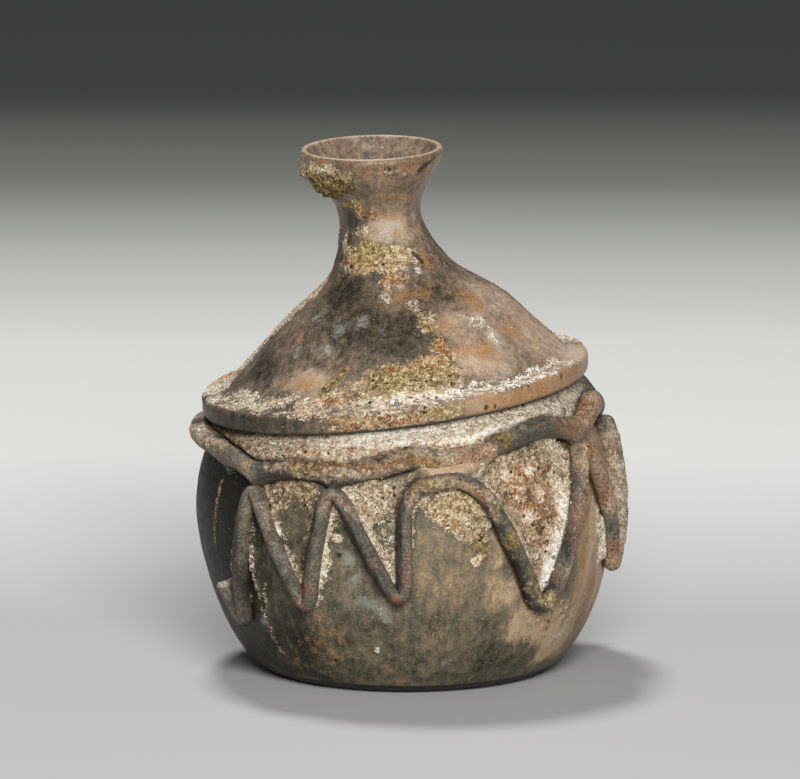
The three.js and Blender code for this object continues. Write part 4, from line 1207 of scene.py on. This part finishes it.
def strewn(name, sources, body, seed):
    """A mesh of single grains over the sources' crust, made by a Geometry Nodes tree."""
    tree = bpy.data.node_groups.new(name, "GeometryNodeTree")
    face = tree.interface
    face.new_socket("Geometry", in_out="OUTPUT", socket_type="NodeSocketGeometry")
    sizes = {
        "Grains per square metre": ("NodeSocketFloat", grains_per_mm2 / MM ** 2),
        "Smallest": ("NodeSocketFloat", smallest_grain * MM),
        "Largest": ("NodeSocketFloat", largest_grain * MM),
        "Seed": ("NodeSocketInt", seed),
        "Sand": ("NodeSocketMaterial", crust_sand),
    }
    sizes |= {f"Wall {i + 1}": ("NodeSocketObject", source) for i, source in enumerate(sources)}
    sockets = {}
    for label, (kind, _) in sizes.items():
        sockets[label] = face.new_socket(label, in_out="INPUT", socket_type=kind)
    given = node(tree, "NodeGroupInput").outputs
    walls = node(tree, "GeometryNodeJoinGeometry")
    for i in range(len(sources)):
        wall = node(tree, "GeometryNodeObjectInfo", {"Object": given[f"Wall {i + 1}"]}).outputs["Geometry"]
        tree.links.new(wall, walls.inputs[0])
    crust = node(tree, "GeometryNodeInputNamedAttribute", {"Name": "crust"}, data_type="FLOAT")
    share = node(tree, "ShaderNodeMapRange", {
        "Value": crust.outputs["Attribute"], "From Min": -0.1, "From Max": 0.9,
    }).outputs["Result"]
    dots = node(tree, "GeometryNodeDistributePointsOnFaces", {
        "Mesh": walls.outputs[0], "Seed": given["Seed"],
        "Density": math_of(tree, "MULTIPLY", share, given["Grains per square metre"]),
    }).outputs["Points"]
    index = node(tree, "GeometryNodeInputIndex").outputs[0]
    random = node(tree, "FunctionNodeRandomValue", {"ID": index, "Seed": 5}).outputs["Value"]
    skewed = {"Min": (0.6,) * 3, "Max": (1.3,) * 3, "Seed": 6}
    skew = node(tree, "FunctionNodeRandomValue", skewed, data_type="FLOAT_VECTOR")
    turns = {"Max": (math.tau,) * 3, "Seed": 7}
    turned = node(tree, "FunctionNodeRandomValue", turns, data_type="FLOAT_VECTOR")
    # Most grains are small: the cube of an even draw
    bigness = math_of(tree, "POWER", random, 3.0)
    size = node(tree, "ShaderNodeMapRange", {
        "Value": bigness, "To Min": given["Smallest"], "To Max": given["Largest"],
    }).outputs["Result"]
    scale = {0: skew.outputs[0], "Scale": size}
    scale = node(tree, "ShaderNodeVectorMath", scale, operation="SCALE").outputs[0]
    stone = node(tree, "GeometryNodeMeshIcoSphere", {"Radius": 1.0, "Subdivisions": 1}).outputs["Mesh"]
    stones = node(tree, "GeometryNodeInstanceOnPoints", {
        "Points": dots, "Instance": stone, "Rotation": turned.outputs[0], "Scale": scale,
    }).outputs["Instances"]
    tint = node(tree, "FunctionNodeRandomValue", {"Seed": 8})
    named = node(tree, "GeometryNodeStoreNamedAttribute", {
        "Geometry": stones, "Name": "tint", "Value": tint.outputs["Value"],
    }, data_type="FLOAT", domain="INSTANCE").outputs[0]
    real = node(tree, "GeometryNodeRealizeInstances", {0: named}).outputs[0]
    done = node(tree, "GeometryNodeSetMaterial", {"Geometry": real, "Material": given["Sand"]}).outputs[0]
    node(tree, "NodeGroupOutput", {"Geometry": done})

    host = placed(name + "_host", bpy.data.meshes.new(name + "_host"))
    modifier = host.modifiers.new(name, "NODES")
    modifier.node_group = tree
    for label, (_, value) in sizes.items():
        modifier[sockets[label].identifier] = value
    mesh = bpy.data.meshes.new_from_object(host.evaluated_get(bpy.context.evaluated_depsgraph_get()))
    mesh.name = name
    host.modifiers.clear()
    bpy.data.objects.remove(host)
    grains = placed(name, mesh)
    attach(grains, body)


def sand_of_grains():
    """The glass's crust again, on grains that each have a tint of their own."""
    material, tree, shader = new_material("crust_sand")
    place = node(tree, "ShaderNodeTexCoord").outputs["Object"]
    fine = grain(tree, place, 3.0)
    level = math_of(tree, "MULTIPLY_ADD", layer(tree, "tint"), 0.5, 0.3)
    level = shaken(tree, math_of(tree, "MULTIPLY_ADD", layer(tree, "tone"), 0.3, level), (fine, 0.3))
    warm = stepped(tree, shaken(tree, layer(tree, "stain"), (layer(tree, "tint"), 2.4)), -0.3, 0.9, 0.85)
    tree.links.new(sandy(tree, level, layer(tree, "olive"), warm), shader.inputs["Base Color"])
    tree.links.new(math_of(tree, "MULTIPLY_ADD", fine, 0.3, 0.62), shader.inputs["Roughness"])
    return material


crust_sand = sand_of_grains()
strewn("jar_crust_grains", [jar, collar, zigzag], "jar", 3)
strewn("lid_crust_grains", [lid], "lid", 4)

# Floor and lights
# A plain floor of grey paper, under a soft lamp from above and a little behind, and a larger one from the
# front on the right. Its colour is painted light and shade: brightest in a band just behind the vessel,
# darker in front, and falling off to dark towards the back.
floor_half, paper_drop = 6, 0.00002
sky_strength = 0.1
lit_point = Vector((0, 0, 0.05))
floor_mesh = bpy.data.meshes.new("floor")
corners = [(x * floor_half, y * floor_half, -paper_drop) for x, y in ((-1, -1), (1, -1), (1, 1), (-1, 1))]
floor_mesh.from_pydata(corners, [], [(0, 1, 2, 3)])
floor = placed("floor", floor_mesh)
paper, tree, paper_shader = new_material("paper")
place = node(tree, "ShaderNodeTexCoord").outputs["Object"]
away = node(tree, "ShaderNodeSeparateXYZ", {0: place}).outputs["Y"]
shade = node(tree, "ShaderNodeMapRange", {"Value": away, "From Min": -0.2, "From Max": 0.6}).outputs["Result"]
paper_colour_with_painted_falloff = ramp(
    tree, shade, (0.1, (178, 178, 177)), (0.3, (175, 175, 174)), (0.4, (197, 197, 195)),
    (0.5, (214, 214, 211)), (0.645, (208, 208, 204)), (0.76, (177, 178, 174)), (0.865, (115, 117, 112)),
    (0.95, (81, 83, 78)), (0.98, (61, 63, 58)), (1, (51, 53, 48)),
)
tree.links.new(paper_colour_with_painted_falloff, paper_shader.inputs["Base Color"])
paper_shader.inputs["Roughness"].default_value = 0.9
floor_mesh.materials.append(paper)


def soft_lamp(name, place, size, watts):
    """A round lamp, aimed at the middle of the vessel."""
    lamp = bpy.data.lights.new(name, "AREA")
    lamp.shape = "DISK"
    lamp.size = size
    lamp.energy = watts
    holder = placed(name, lamp)
    holder.location = place
    holder.rotation_euler = (lit_point - Vector(place)).to_track_quat("-Z", "Y").to_euler()


soft_lamp("overhead", place=(-0.145, 0.36, 1.04), size=0.2, watts=7.6)
soft_lamp("front", place=(0.18, -1.37, 0.8), size=0.75, watts=28)
world = bpy.data.worlds.new("world")
scene.world = world
world.use_nodes = True
sky = world.node_tree.nodes["Background"].inputs
sky["Color"].default_value = (1, 1, 1, 1)
sky["Strength"].default_value = sky_strength

scene.view_settings.view_transform = "Standard"
